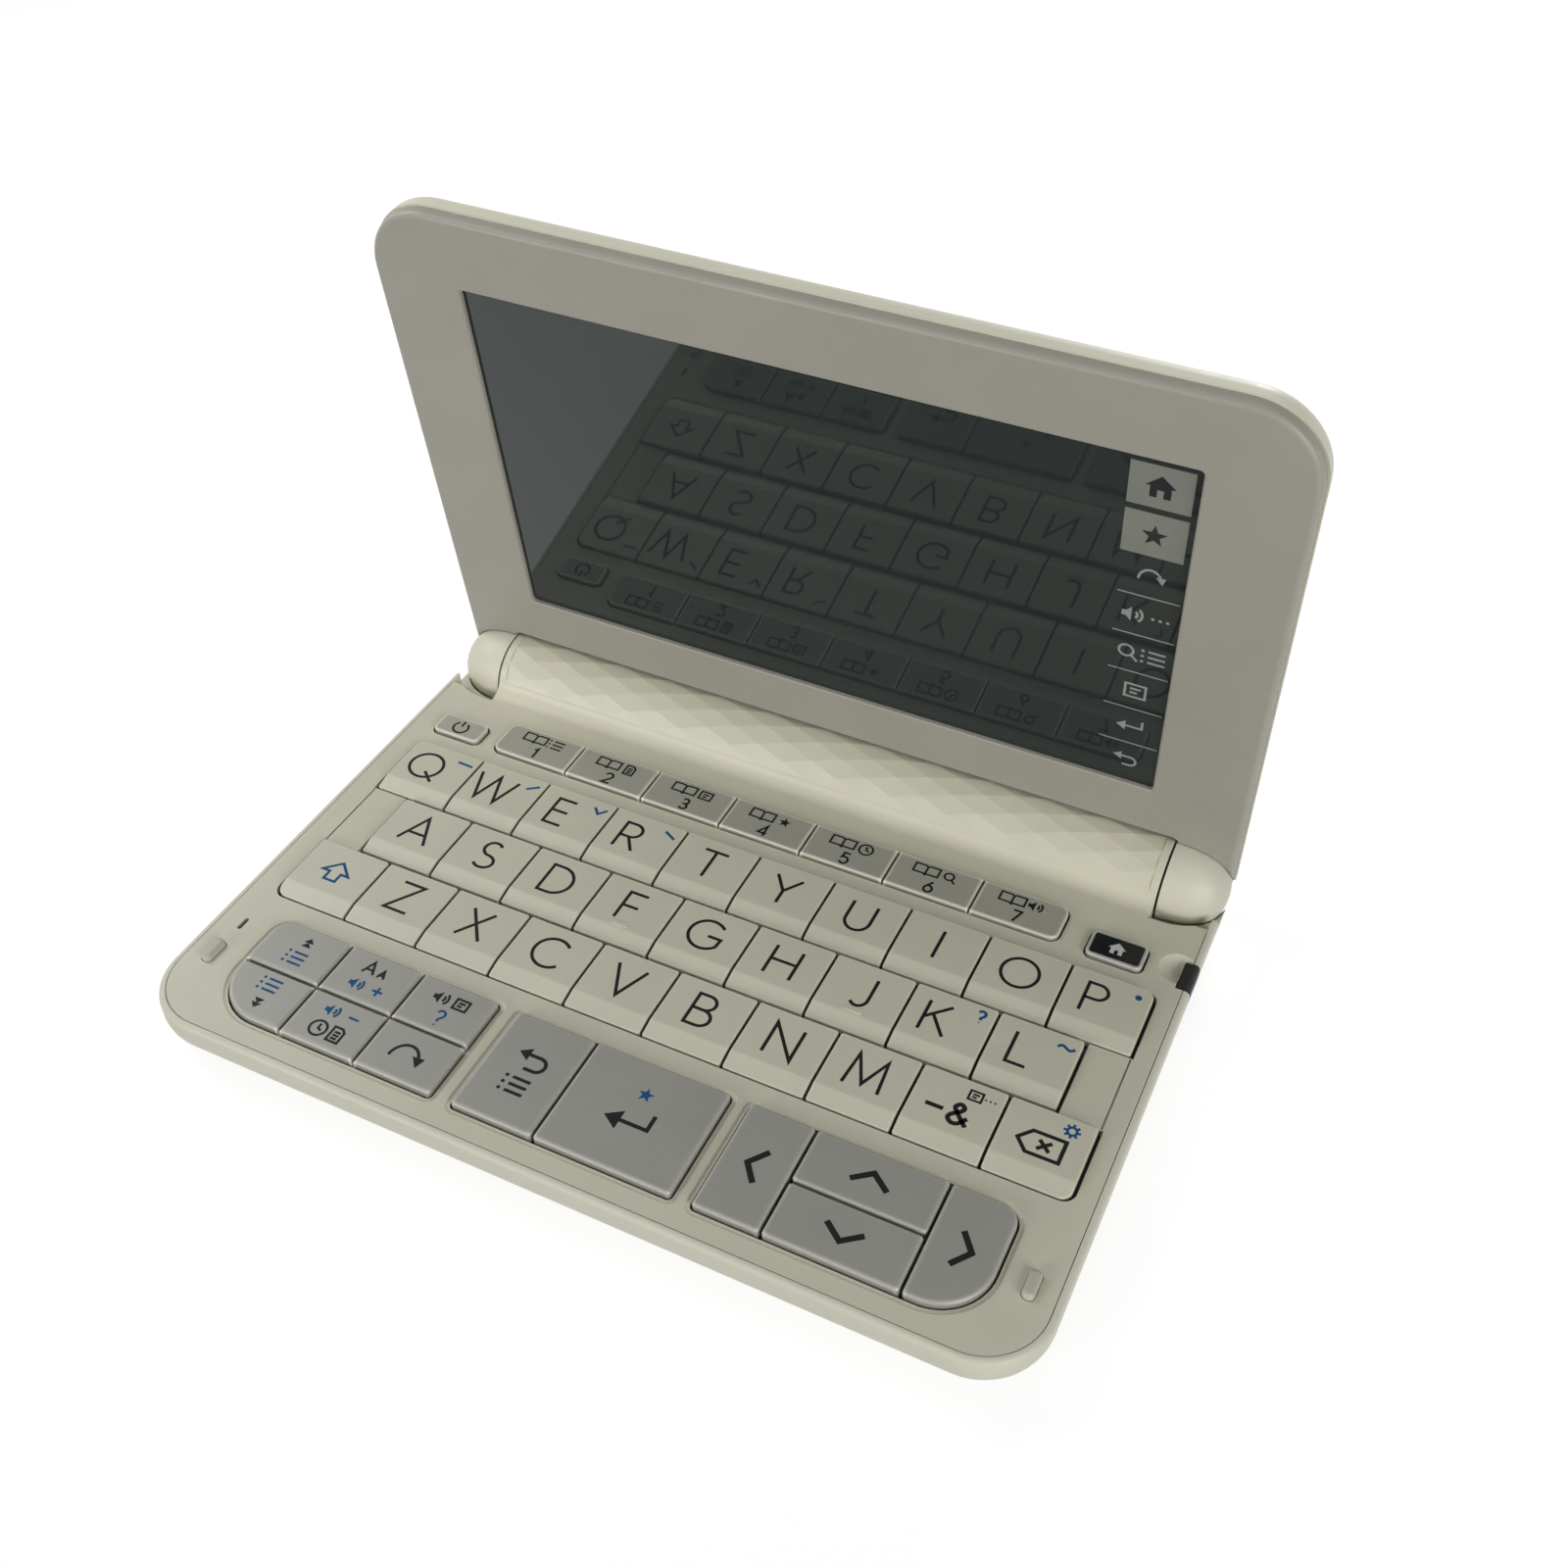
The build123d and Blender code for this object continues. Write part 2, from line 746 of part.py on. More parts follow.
def build_top_panel(skin):
    """Keyboard plate that sweeps up into the faceted upper half of the barrel."""
    inset = rim_width + seam_gap
    with BuildPart() as panel:
        with BuildSketch(level(plate_bottom_z)):
            add(corner_box(
                -side_x + inset, side_x - inset, front_y + inset, front_y + ramp_start + rim_width,
                (front_corner_radius - inset, front_corner_radius - inset, 0, 0),
            ))
            add(cap_recess(seat_gap), mode=Mode.SUBTRACT)
        extrude(amount=panel_thickness)
        with BuildSketch(across(-barrel_half_length)):
            add(upper_section())
        extrude(amount=2 * barrel_half_length)
        with BuildSketch(across(-bay_half_length)):
            add(ring_disc(bay_radius))
        extrude(amount=2 * bay_half_length, mode=Mode.SUBTRACT)
        with BuildSketch(across(-side_x)):
            add(ring_disc(shaft_hole_radius))
        extrude(amount=2 * side_x, mode=Mode.SUBTRACT)
        half_zone = facet_columns / 2 * facet_pitch
        with BuildSketch(across(-half_zone)):
            add(facet_zone())
        extrude(amount=2 * half_zone, mode=Mode.SUBTRACT)
        add(skin)
        add(key_openings(), mode=Mode.SUBTRACT)
        add(panel_details(), mode=Mode.SUBTRACT)
    save(panel, "base_top_panel")


def key_openings():
    """Openings for all keys, and the shallow moat round each silver group."""
    with BuildPart() as openings:
        with BuildSketch(level(panel_z - moat_depth)):
            add(silver_groups(moat_width))
        extrude(amount=2 * moat_depth, taper=-moat_slope)
        with BuildSketch(level(plate_bottom_z)):
            add(letter_well())
            add(silver_groups(key_side_gap))
            add(content_plan(key_side_gap))
            add(small_key_plan(power_x, power_width, power_depth, key_side_gap))
            add(small_key_plan(home_x, home_width, home_depth, key_side_gap))
        extrude(amount=panel_thickness)
    return openings.part


def panel_details():
    """Pad seats, microphone slot, filler grooves, stylus notch and finger scoop."""
    row_middle = letter_front + 1.5 * letter_row_pitch - letter_row_gap / 2
    with BuildPart() as cuts:
        with BuildSketch(level(panel_z - pad_seat)):
            with Locations(at(-pad_x, pad_y), at(pad_x, pad_y)):
                RectangleRounded(pad_width + 2 * seat_gap, pad_length + 2 * seat_gap, pad_width / 2)
        extrude(amount=panel_thickness)
        with BuildSketch(level(panel_z - mic_depth)):
            with Locations(at(mic_x, mic_y)):
                SlotOverall(mic_length, mic_width, rotation=90)
        extrude(amount=panel_thickness)
        with BuildSketch(level(panel_z - groove_depth)):
            with Locations(at(block_left, row_middle), at(block_right, row_middle)):
                Rectangle(groove_width, letter_row_pitch)
        extrude(amount=panel_thickness)
        with BuildSketch(level(plate_bottom_z)):
            add(head_plan(slide_gap))
        extrude(amount=2 * panel_thickness)
        dish_radius = (scoop_radius**2 + scoop_depth**2) / (2 * scoop_depth)
        with Locations((*at(scoop_x, scoop_y), panel_z - scoop_depth + dish_radius)):
            Sphere(dish_radius)
    return cuts.part


# ---- keys ----
def letter_key_profile(y0, y1):
    """Side view of a letter key: low sloping front skirt, soft crease and flat top."""
    top_z = panel_z + letter_rise
    with BuildSketch() as profile:
        with BuildLine():
            Polyline(
                (y0, key_bottom_z),
                (y0, panel_z + letter_skirt_rise),
                (y0 + letter_skirt, top_z),
                (y1, top_z),
                (y1, key_bottom_z),
                close=True,
            )
        make_face()
        fillet(profile.vertices().sort_by_distance((y0 + letter_skirt, top_z, 0))[0], letter_crease_round)
    return profile.sketch


def build_letter_key(label, row, column, corners, bump):
    """One letter key; corners are its plan radii and bump adds a raised homing bar."""
    step = middle_row_step * letter_pitch if row == 1 else 0
    x0 = block_left + step + column * letter_pitch + letter_gap / 2
    x1 = x0 + letter_pitch - letter_gap
    y0 = front_y + letter_front + row * letter_row_pitch
    y1 = y0 + letter_row_pitch - letter_row_gap
    with BuildPart() as key:
        with BuildSketch(across(x0)):
            add(letter_key_profile(y0, y1))
        extrude(amount=x1 - x0)
        with BuildSketch(level(key_bottom_z)):
            add(corner_box(x0, x1, y0, y1, corners))
        extrude(amount=key_depth + 2 * letter_rise, mode=Mode.INTERSECT)
        fillet(key.faces().sort_by(Axis.Z)[-1].edges().sort_by(Axis.Y)[1:], letter_edge_round)
        if bump:
            bump_z = panel_z + letter_rise
            with BuildSketch(level(bump_z - homing_bump_radius)):
                with Locations(((x0 + x1) / 2, y0 + letter_skirt + 2 * homing_bump_radius)):
                    SlotOverall(homing_bump_length, 2 * homing_bump_radius)
            extrude(amount=1.4 * homing_bump_radius)
    save(key, label)


def build_letter_keys():
    """Thirty-key block without the middle row's last place; outer corners are rounded."""
    rows = ("shift z x c v b n m dash delete", "a s d f g h j k l", "q w e r t y u i o p")
    for row, names in enumerate(rows):
        names = names.split()
        for column, name in enumerate(names):
            corners = [letter_corner] * 4
            if row == 0 and column == 0:
                corners[0] = block_corner
            if row == 0 and column == len(names) - 1:
                corners[1] = block_corner
            if row == 2 and column == len(names) - 1:
                corners[2] = block_corner
            if row == 2 and column == 0:
                corners[3] = block_corner
            build_letter_key(f"key_{name}", row, column, corners, name in ("f", "j"))


def build_flat_key(label, plan, rise, edge_round):
    """Key with a flat top and softened upper edges."""
    with BuildPart() as key:
        with BuildSketch(level(key_bottom_z)):
            add(plan)
        extrude(amount=key_depth + rise)
        fillet(key.faces().sort_by(Axis.Z)[-1].edges(), edge_round)
    save(key, label)


def build_key_strip(label, plan, cuts, rise, edge_round):
    """Keys that share one carrier: a raised block parted by slots down to the carrier."""
    with BuildPart() as strip:
        with BuildSketch(level(key_bottom_z)):
            add(plan)
        extrude(amount=key_depth + rise)
        with BuildSketch(level(key_bottom_z + carrier_thickness)):
            for (x, y), (width, depth) in cuts:
                with Locations((x, y)):
                    Rectangle(width, depth)
        extrude(amount=2 * key_depth, mode=Mode.SUBTRACT)
        fillet(strip.faces().group_by(Axis.Z)[-1].edges(), edge_round)
    save(strip, label)


def build_silver_keys():
    """Function keys on one carrier, back, enter and the four arrow keys."""
    y0 = front_y + silver_front
    y1 = front_y + silver_rear
    middle = front_y + silver_middle
    small = silver_corner
    plan = corner_box(function_left, function_left + function_width, y0, y1,
                      (silver_outer_corner, small, small, silver_back_corner))
    cuts = [((function_left + function_width / 2, middle), (2 * function_width, silver_gap))]
    for column in (1, 2):
        cuts.append(((function_left + column * function_width / 3, middle), (silver_gap, 2 * silver_depth)))
    build_key_strip("function_keys", plan, cuts, silver_rise, silver_edge_round)
    even = (small, small, small, small)
    half_gap = silver_gap / 2
    plans = {
        "back_key": corner_box(back_left, back_right, y0, y1, even),
        "enter_key": corner_box(enter_left, enter_right, y0, y1, even),
        "arrow_left_key": corner_box(arrow_left, arrow_left + arrow_side_width, y0, y1, even),
        "arrow_down_key": corner_box(arrow_middle_left, arrow_middle_right, y0, middle - half_gap, even),
        "arrow_up_key": corner_box(arrow_middle_left, arrow_middle_right, middle + half_gap, y1, even),
        "arrow_right_key": corner_box(arrow_right - arrow_side_width, arrow_right, y0, y1,
                                      (small, silver_outer_corner, silver_back_corner, small)),
    }
    for label, plan in plans.items():
        build_flat_key(label, plan, silver_rise, silver_edge_round)


def build_top_row():
    """Strip of content keys on one carrier, the power key and the home key."""
    cuts = []
    for column in range(1, content_columns):
        x = content_left + column * content_pitch - silver_gap / 2
        cuts.append(((x, front_y + content_front + content_depth / 2), (silver_gap, 2 * content_depth)))
    build_key_strip("content_keys", content_plan(0), cuts, content_rise, letter_edge_round)
    power = small_key_plan(power_x, power_width, power_depth, 0)
    build_flat_key("power_key", power, small_key_rise, letter_edge_round)
    home = small_key_plan(home_x, home_width, home_depth, 0)
    build_flat_key("home_key", home, small_key_rise, letter_edge_round)


# ---- parts inside and under the base ----
def board_plan():
    """Plan of the circuit board and key sheet inside the base walls."""
    inset = case_wall + board_margin
    radius = front_corner_radius - inset
    corners = (radius, radius, 0, 0)
    return corner_box(-side_x + inset, side_x - inset, front_y + inset, front_y + board_rear, corners)


def build_board():
    """Main circuit board with notches round the jack and behind the port opening."""
    jack_reach = side_x - jack_body_x + jack_body_length + board_margin
    card_reach = side_x - socket_start + card_length + board_margin
    with BuildPart() as board:
        with BuildSketch(level(board_bottom_z)):
            add(board_plan())
            with Locations(at(-side_x + jack_reach / 2, jack_y)):
                Rectangle(jack_reach, jack_body_width + 2 * board_margin, mode=Mode.SUBTRACT)
            with Locations(at(side_x - card_reach / 2, port_y)):
                Rectangle(card_reach, port_length, mode=Mode.SUBTRACT)
        extrude(amount=board_thickness)
    save(board, "main_board")
    with BuildPart() as sheet:
        with BuildSketch(level(board_top_z)):
            add(board_plan())
        extrude(amount=rubber_thickness)
    save(sheet, "key_rubber_sheet")


def build_speaker():
    """Round loudspeaker on the floor of the base."""
    with BuildPart() as speaker:
        with BuildSketch(level(floor_z)):
            with Locations(at(speaker_x, speaker_y)):
                Circle(speaker_radius)
        extrude(amount=speaker_height)
    save(speaker, "speaker")


def build_feet_and_screws():
    """Four rubber feet and six case screws."""
    with BuildPart() as feet:
        with BuildSketch(level(0)):
            add(discs(foot_spots, foot_radius))
        extrude(amount=foot_height + foot_seat)
    save(feet, "rubber_feet")
    with BuildPart() as screws:
        with BuildSketch(level(foot_height)):
            add(discs(boss_spots, screw_head_radius))
        extrude(amount=screw_head_height)
        with BuildSketch(level(foot_height)):
            add(discs(boss_spots, screw_shank_radius))
        extrude(amount=screw_head_height + screw_shank_length)
    save(screws, "case_screws")


def build_pads():
    """Two raised pads that the closed lid rests on."""
    with BuildPart() as pads:
        with BuildSketch(level(panel_z - pad_seat)):
            with Locations(at(-pad_x, pad_y), at(pad_x, pad_y)):
                RectangleRounded(pad_width, pad_length, pad_width / 2 - seat_gap)
        extrude(amount=pad_seat + pad_rise)
        fillet(pads.faces().group_by(Axis.Z)[-1].edges(), pad_edge_round)
    save(pads, "lid_stop_pads")


def build_jack():
    """Earphone jack: block behind the left wall with a round nose in the wall."""
    y = front_y + jack_y
    with BuildPart() as jack:
        with BuildSketch(across(-jack_body_x)):
            with Locations((y, jack_z)):
                Rectangle(jack_body_width, jack_body_height)
        extrude(amount=jack_body_length)
        with BuildSketch(across(-jack_nose_x)):
            with Locations((y, jack_z)):
                Circle(jack_nose_radius)
        extrude(amount=jack_nose_x - jack_body_x)
        with BuildSketch(across(-jack_nose_x)):
            with Locations((y, jack_z)):
                Circle(jack_bore_radius)
        extrude(amount=jack_bore_length, mode=Mode.SUBTRACT)
    save(jack, "earphone_jack")


def build_sockets():
    """USB socket and memory card slot: metal sleeves behind the port cover, open to the right."""
    with BuildPart() as sockets:
        with BuildSketch(across(socket_start - usb_length)):
            with Locations((front_y + usb_y, port_z)):
                Rectangle(usb_width, usb_height)
        extrude(amount=usb_length)
        with BuildSketch(across(socket_start - card_length)):
            with Locations((front_y + card_y, port_z)):
                Rectangle(card_width, card_height)
        extrude(amount=card_length)
        with BuildSketch(across(socket_start - usb_length + socket_wall)):
            with Locations((front_y + usb_y, port_z)):
                Rectangle(usb_width - 2 * socket_wall, usb_height - 2 * socket_wall)
            with Locations((front_y + card_y, port_z)):
                Rectangle(card_width - 2 * socket_wall, card_height - 2 * socket_wall)
        extrude(amount=usb_length, mode=Mode.SUBTRACT)
    save(sockets, "port_sockets")


# ---- pieces that come off the base ----
def build_port_cover(shell):
    """Cover of the port opening; its outside follows the rounded side of the base."""
    with BuildPart() as cover:
        add(shell)
        with BuildSketch(across(port_inner_x)):
            with Locations((front_y + port_y, port_z)):
                Rectangle(port_length, port_height)
        extrude(amount=base_width, mode=Mode.INTERSECT)
    save(cover, "port_cover")


def build_stylus(shell):
    """Flat stylus with a tapered tip; its head is shaped like the edge of the base."""
    y = front_y + stylus_y
    x1 = side_x - stylus_head_length
    x0 = side_x - stylus_length
    half = stylus_width / 2
    tip = stylus_tip_width / 2
    with BuildPart() as head:
        add(shell)
        with BuildSketch(level(stylus_bottom_z)):
            add(head_plan(0))
        extrude(amount=2 * panel_height, mode=Mode.INTERSECT)
    with BuildPart() as stylus:
        with BuildSketch(level(stylus_bottom_z)):
            with BuildLine():
                Polyline(
                    (x0, y - tip),
                    (x0 + stylus_tip_length, y - half),
                    (x1, y - half),
                    (x1, y + half),
                    (x0 + stylus_tip_length, y + half),
                    (x0, y + tip),
                    close=True,
                )
            make_face()
        extrude(amount=stylus_thickness)
        fillet(stylus.edges().filter_by(Axis.X), stylus_round)
        add(head.part)
    save(stylus, "stylus")


def build_battery_cover():
    """Rear lower quarter of the barrel, with grip grooves; it slides off to the rear."""
    with BuildPart() as cover:
        with BuildSketch(across(-cover_half_length)):
            add(ring_disc(barrel_radius))
            add(ring_disc(bay_radius), mode=Mode.SUBTRACT)
            with Locations((hinge_y + seam_gap + barrel_radius, hinge_z - seam_gap - barrel_radius)):
                Rectangle(2 * barrel_radius, 2 * barrel_radius, mode=Mode.INTERSECT)
        extrude(amount=2 * cover_half_length)
        for index in range(cover_grip_count):
            angle = 225 + (index - (cover_grip_count - 1) / 2) * facet_angle / 2
            place = barrel_point(0, angle, barrel_radius)
            with BuildSketch(across(-cover_grip_length / 2)):
                with Locations(place[1:]):
                    Circle(cover_grip_depth)
            extrude(amount=cover_grip_length, mode=Mode.SUBTRACT)
    save(cover, "battery_cover")


def build_batteries():
    """Two round cells in line, and the contact plates at both ends of the bay."""
    starts = (-cell_length - nub_height + seat_gap * 3, seat_gap * 5)
    with BuildPart() as cells:
        for x in starts:
            with BuildSketch(across(x)):
                add(ring_disc(cell_radius))
            extrude(amount=cell_length)
            with BuildSketch(across(x + cell_length)):
                add(ring_disc(nub_radius))
            extrude(amount=nub_height)
    save(cells, "battery_cells")
    with BuildPart() as contacts:
        for x in (-contact_inner_x - contact_thickness, contact_inner_x):
            with BuildSketch(across(x)):
                with Locations((hinge_y, hinge_z)):
                    Rectangle(contact_width, contact_height)
            extrude(amount=contact_thickness)
        with BuildSketch(across(-contact_inner_x)):
            add(ring_disc(spring_radius))
        extrude(amount=spring_height)
        with BuildSketch(across(contact_inner_x - bump_height)):
            add(ring_disc(spring_radius))
        extrude(amount=bump_height)
    save(contacts, "battery_contacts")


def build_hinge():
    """Friction clutches in the barrel and the two shafts that carry the lid."""
    with BuildPart() as clutches:
        with BuildSketch(across(clutch_start)):
            add(ring_disc(clutch_radius))
            add(ring_disc(shaft_radius + running_gap), mode=Mode.SUBTRACT)
        extrude(amount=clutch_length)
        mirror(about=Plane.YZ)
    save(clutches, "hinge_clutches")
    with BuildPart() as shafts:
        with BuildSketch(across(shaft_start)):
            add(ring_disc(shaft_radius))
        extrude(amount=shaft_length)
        mirror(about=Plane.YZ)
    save(shafts, "hinge_shafts")


# ---- lid ----
def lid_outline(inset, low):
    """Outline of the lid from a low edge up to its free edge, drawn inwards by an inset."""
    x = side_x - inset
    top = lid_top_corner - inset
    return corner_box(-x, x, low, lid_reach - inset, (0, 0, top, top))


def window_plan(growth):
    """Plan of the display window in the lid, grown by a margin."""
    half = window_width / 2 + growth
    return even_box(-half, half, window_root - growth, window_root + window_height + growth, window_corner)


def root_notch():
    """Plan of the space between the caps that the barrel turns in."""
    round_corners = (0, 0, lid_notch_corner, lid_notch_corner)
    return corner_box(-cap_start, cap_start, -lid_reach, lid_root, round_corners)


def build_back_shell(domes):
    """Outer shell of the lid with the two domed hinge caps."""
    with BuildPart() as back:
        with BuildSketch(lid_plane.offset(-barrel_radius)):
            add(lid_outline(0, 0))
        extrude(amount=barrel_radius - seam_depth)
        rear_face = back.faces().filter_by(lid_plane).sort_by(Axis(lid_plane.origin, lid_plane.z_dir))[0]
        low_edge = rear_face.edges().sort_by_distance(lid_plane.origin)[0]
        fillet(rear_face.edges() - [low_edge], lid_back_round)
        with BuildSketch(lid_plane.offset(-2 * barrel_radius)):
            add(root_notch())
        extrude(amount=2 * barrel_radius, mode=Mode.SUBTRACT)
        with BuildSketch(lid_plane.offset(-barrel_radius + lid_floor)):
            add(lid_outline(lid_wall, lid_root + lid_wall))
        extrude(amount=barrel_radius, mode=Mode.SUBTRACT)
        add(domes)
        with BuildSketch(across(-shaft_start - shaft_length - seat_gap)):
            add(ring_disc(shaft_radius))
        extrude(amount=2 * (shaft_start + shaft_length + seat_gap), mode=Mode.SUBTRACT)
    save(back, "lid_back_shell")


def build_front_frame(grown_domes):
    """Bezel round the display; its lower corners follow the hinge caps."""
    with BuildPart() as front:
        with BuildSketch(lid_plane.offset(-seam_depth)):
            add(lid_outline(frame_inset, 0))
        extrude(amount=seam_depth - bezel_depth)
        front_face = front.faces().filter_by(lid_plane).sort_by(Axis(lid_plane.origin, lid_plane.z_dir))[-1]
        fillet(front_face.edges(), frame_edge_round)
        with BuildSketch(lid_plane.offset(-2 * barrel_radius)):
            add(root_notch())
        extrude(amount=2 * barrel_radius, mode=Mode.SUBTRACT)
        root_point = lid_plane.from_local_coords((0, lid_root, -bezel_depth))
        chamfer(front.edges().sort_by_distance(root_point)[0], lid_root_chamfer)
        add(grown_domes, mode=Mode.SUBTRACT)
        with BuildSketch(lid_plane.offset(-seam_depth)):
            add(lid_outline(frame_inset + frame_wall, lid_root + frame_wall))
        extrude(amount=seam_depth - bezel_depth - frame_skin, mode=Mode.SUBTRACT)
        with BuildSketch(lid_plane.offset(-seam_depth)):
            add(window_plan(0))
        extrude(amount=seam_depth, mode=Mode.SUBTRACT)
        with BuildSketch(lid_plane.offset(-bezel_depth)):
            add(window_plan(window_bevel))
        extrude(amount=-window_bevel, taper=45, mode=Mode.SUBTRACT)
    save(front, "lid_front_frame")


def build_screen():
    """Touch glass behind the bezel and the display module behind the glass."""
    glass_front = bezel_depth + frame_skin + running_gap
    lcd_front = glass_front + glass_thickness + running_gap
    lcd_thickness = barrel_radius - lid_floor - lcd_front - lcd_rear_gap
    with BuildPart() as glass:
        with BuildSketch(lid_plane.offset(-glass_front)):
            add(window_plan(glass_margin))
        extrude(amount=-glass_thickness)
    save(glass, "touch_glass")
    with BuildPart() as lcd:
        with BuildSketch(lid_plane.offset(-lcd_front)):
            add(window_plan(lcd_margin))
        extrude(amount=-lcd_thickness)
    save(lcd, "lcd_module")


base_shell = outer_body()
build_bottom_case(base_shell, inner_cavity(), cap_domes(cap_gap))
build_top_panel(facet_skin())
build_letter_keys()
build_silver_keys()
build_top_row()
build_board()
build_speaker()
build_feet_and_screws()
build_pads()
build_jack()
build_sockets()
build_port_cover(base_shell)
build_stylus(base_shell)
build_battery_cover()
build_batteries()
build_hinge()
build_back_shell(cap_domes(0))
build_front_frame(cap_domes(seam_gap))
build_screen()
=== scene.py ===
import json
from math import cos, hypot, pi, radians, sin

import bpy
from mathutils import Euler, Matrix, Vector


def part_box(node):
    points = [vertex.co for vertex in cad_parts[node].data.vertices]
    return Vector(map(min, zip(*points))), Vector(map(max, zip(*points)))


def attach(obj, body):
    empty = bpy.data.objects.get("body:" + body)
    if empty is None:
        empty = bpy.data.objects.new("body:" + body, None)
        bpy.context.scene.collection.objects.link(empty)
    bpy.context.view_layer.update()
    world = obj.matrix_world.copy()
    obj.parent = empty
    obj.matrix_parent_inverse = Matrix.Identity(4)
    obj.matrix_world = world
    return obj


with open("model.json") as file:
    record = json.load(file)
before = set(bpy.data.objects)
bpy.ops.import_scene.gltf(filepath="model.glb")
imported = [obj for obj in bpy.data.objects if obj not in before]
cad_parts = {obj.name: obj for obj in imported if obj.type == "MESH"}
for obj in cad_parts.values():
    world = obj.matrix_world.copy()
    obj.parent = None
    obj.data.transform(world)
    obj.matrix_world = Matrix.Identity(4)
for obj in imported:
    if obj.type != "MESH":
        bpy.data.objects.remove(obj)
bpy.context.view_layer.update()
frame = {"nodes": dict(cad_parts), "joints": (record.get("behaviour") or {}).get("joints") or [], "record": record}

nodes = frame["nodes"]
body_of_node = {n: body for body, members in frame["record"]["behaviour"]["bodies"].items() for n in members}
MM = 0.001


# ---- colours ----
def srgb(r, g, b):
    """Linear colour from 0-255 screen values."""
    shares = (r / 255, g / 255, b / 255)
    return tuple(v / 12.92 if v <= 0.04045 else ((v + 0.055) / 1.055) ** 2.4 for v in shares) + (1.0,)


def tint(colour, factor):
    """The colour made lighter or darker, never past white."""
    return tuple(min(1.0, c * factor) for c in colour[:3]) + (1.0,)


# ---- node materials ----
GRAIN = 9000  # spark-eroded grain, cells per metre
EDGE_HIGHLIGHT_REACH = 0.0005  # how far the painted edge highlight reaches in from the edge of a moulded key
# how far the painted edge highlight reaches in on silver-painted keys
PAINT_EDGE_REACH = 0.0006
GAP_SHADE_REACH = 0.0014  # how far the painted gap shade reaches out of a gap
# Colour of the painted shade in gaps and creases, a dark brown.
GAP_SHADE_COLOUR = srgb(58, 52, 38)


def new_material(name):
    mat = bpy.data.materials.new(name)
    mat.use_nodes = True
    tree = mat.node_tree
    return mat, tree, tree.nodes["Principled BSDF"]


def noise(tree, per_metre, detail=3.0, stretch=(1, 1, 1), distortion=0.0):
    """Noise in object space; per_metre is how many cells fit in a metre."""
    coords = tree.nodes.new("ShaderNodeTexCoord")
    mapping = tree.nodes.new("ShaderNodeMapping")
    mapping.inputs["Scale"].default_value = stretch
    tex = tree.nodes.new("ShaderNodeTexNoise")
    tex.inputs["Scale"].default_value = per_metre
    tex.inputs["Detail"].default_value = detail
    tex.inputs["Distortion"].default_value = distortion
    tree.links.new(coords.outputs["Object"], mapping.inputs["Vector"])
    tree.links.new(mapping.outputs["Vector"], tex.inputs["Vector"])
    return tex.outputs["Fac"]


def ramp(tree, value, low, high, from_min=0.3, from_max=0.7):
    """Map a noise value to a range of numbers."""
    node = tree.nodes.new("ShaderNodeMapRange")
    node.inputs["From Min"].default_value = from_min
    node.inputs["From Max"].default_value = from_max
    node.inputs["To Min"].default_value = low
    node.inputs["To Max"].default_value = high
    tree.links.new(value, node.inputs["Value"])
    return node.outputs["Result"]


def blend_colours(tree, factor, first, second):
    node = tree.nodes.new("ShaderNodeMix")
    node.data_type = "RGBA"
    tree.links.new(factor, node.inputs["Factor"])
    for socket, value in ((node.inputs["A"], first), (node.inputs["B"], second)):
        if isinstance(value, tuple):
            socket.default_value = value
        else:
            tree.links.new(value, socket)
    return node.outputs["Result"]


def feed(tree, shader, socket, value):
    tree.links.new(value, shader.inputs[socket])


def add_bump(tree, shader, value, strength, distance):
    bump = tree.nodes.new("ShaderNodeBump")
    bump.inputs["Strength"].default_value = strength
    bump.inputs["Distance"].default_value = distance
    tree.links.new(value, bump.inputs["Height"])
    feed(tree, shader, "Normal", bump.outputs["Normal"])


def nearness(tree, distance, inside):
    """How near a surface point is to a convex edge, or to facing surfaces when inside is off."""
    node = tree.nodes.new("ShaderNodeAmbientOcclusion")
    node.samples = 8
    node.inside = inside
    node.only_local = inside
    node.inputs["Distance"].default_value = distance
    return node.outputs["AO"]


def plastic(name, colour, rough, spread=0.06, mottle=0.03, bump=0.12, ior=1.48, edge=0.0, gap_shade=0.0):
    """Moulded plastic: faint clouding, fine spark-eroded grain and a roughness that wanders, with an optional
    painted highlight along convex edges and optional painted shade in gaps and creases.
    """
    mat, tree, shader = new_material(name)
    cloud = ramp(tree, noise(tree, 70, 4.0), 0.0, 1.0)
    speck = ramp(tree, noise(tree, 5200, 1.0), 0.0, 0.25, 0.60, 0.74)
    base = blend_colours(tree, cloud, tint(colour, 1 - mottle), tint(colour, 1 + mottle))
    mixed = blend_colours(tree, speck, base, tint(colour, 1 - 4 * mottle))
    if edge:
        # Painted highlight: the colour is lightened along convex edges, where light would catch them.
        edge_highlight_mask = ramp(tree, nearness(tree, EDGE_HIGHLIGHT_REACH, True), edge, 0.0, 0.45, 0.95)
        mixed = blend_colours(tree, edge_highlight_mask, mixed, tint(colour, 1.3))
    if gap_shade:
        # Painted shade: the colour is darkened where nearby surfaces face it, in gaps and creases.
        gap_shade_mask = ramp(tree, nearness(tree, GAP_SHADE_REACH, False), gap_shade, 0.0, 0.05, 0.55)
        mixed = blend_colours(tree, gap_shade_mask, mixed, GAP_SHADE_COLOUR)
    feed(tree, shader, "Base Color", mixed)
    feed(tree, shader, "Roughness", ramp(tree, noise(tree, 420, 4.0), rough - spread, rough + spread))
    add_bump(tree, shader, noise(tree, GRAIN, 2.0), bump, 0.00003)
    shader.inputs["IOR"].default_value = ior
    return mat


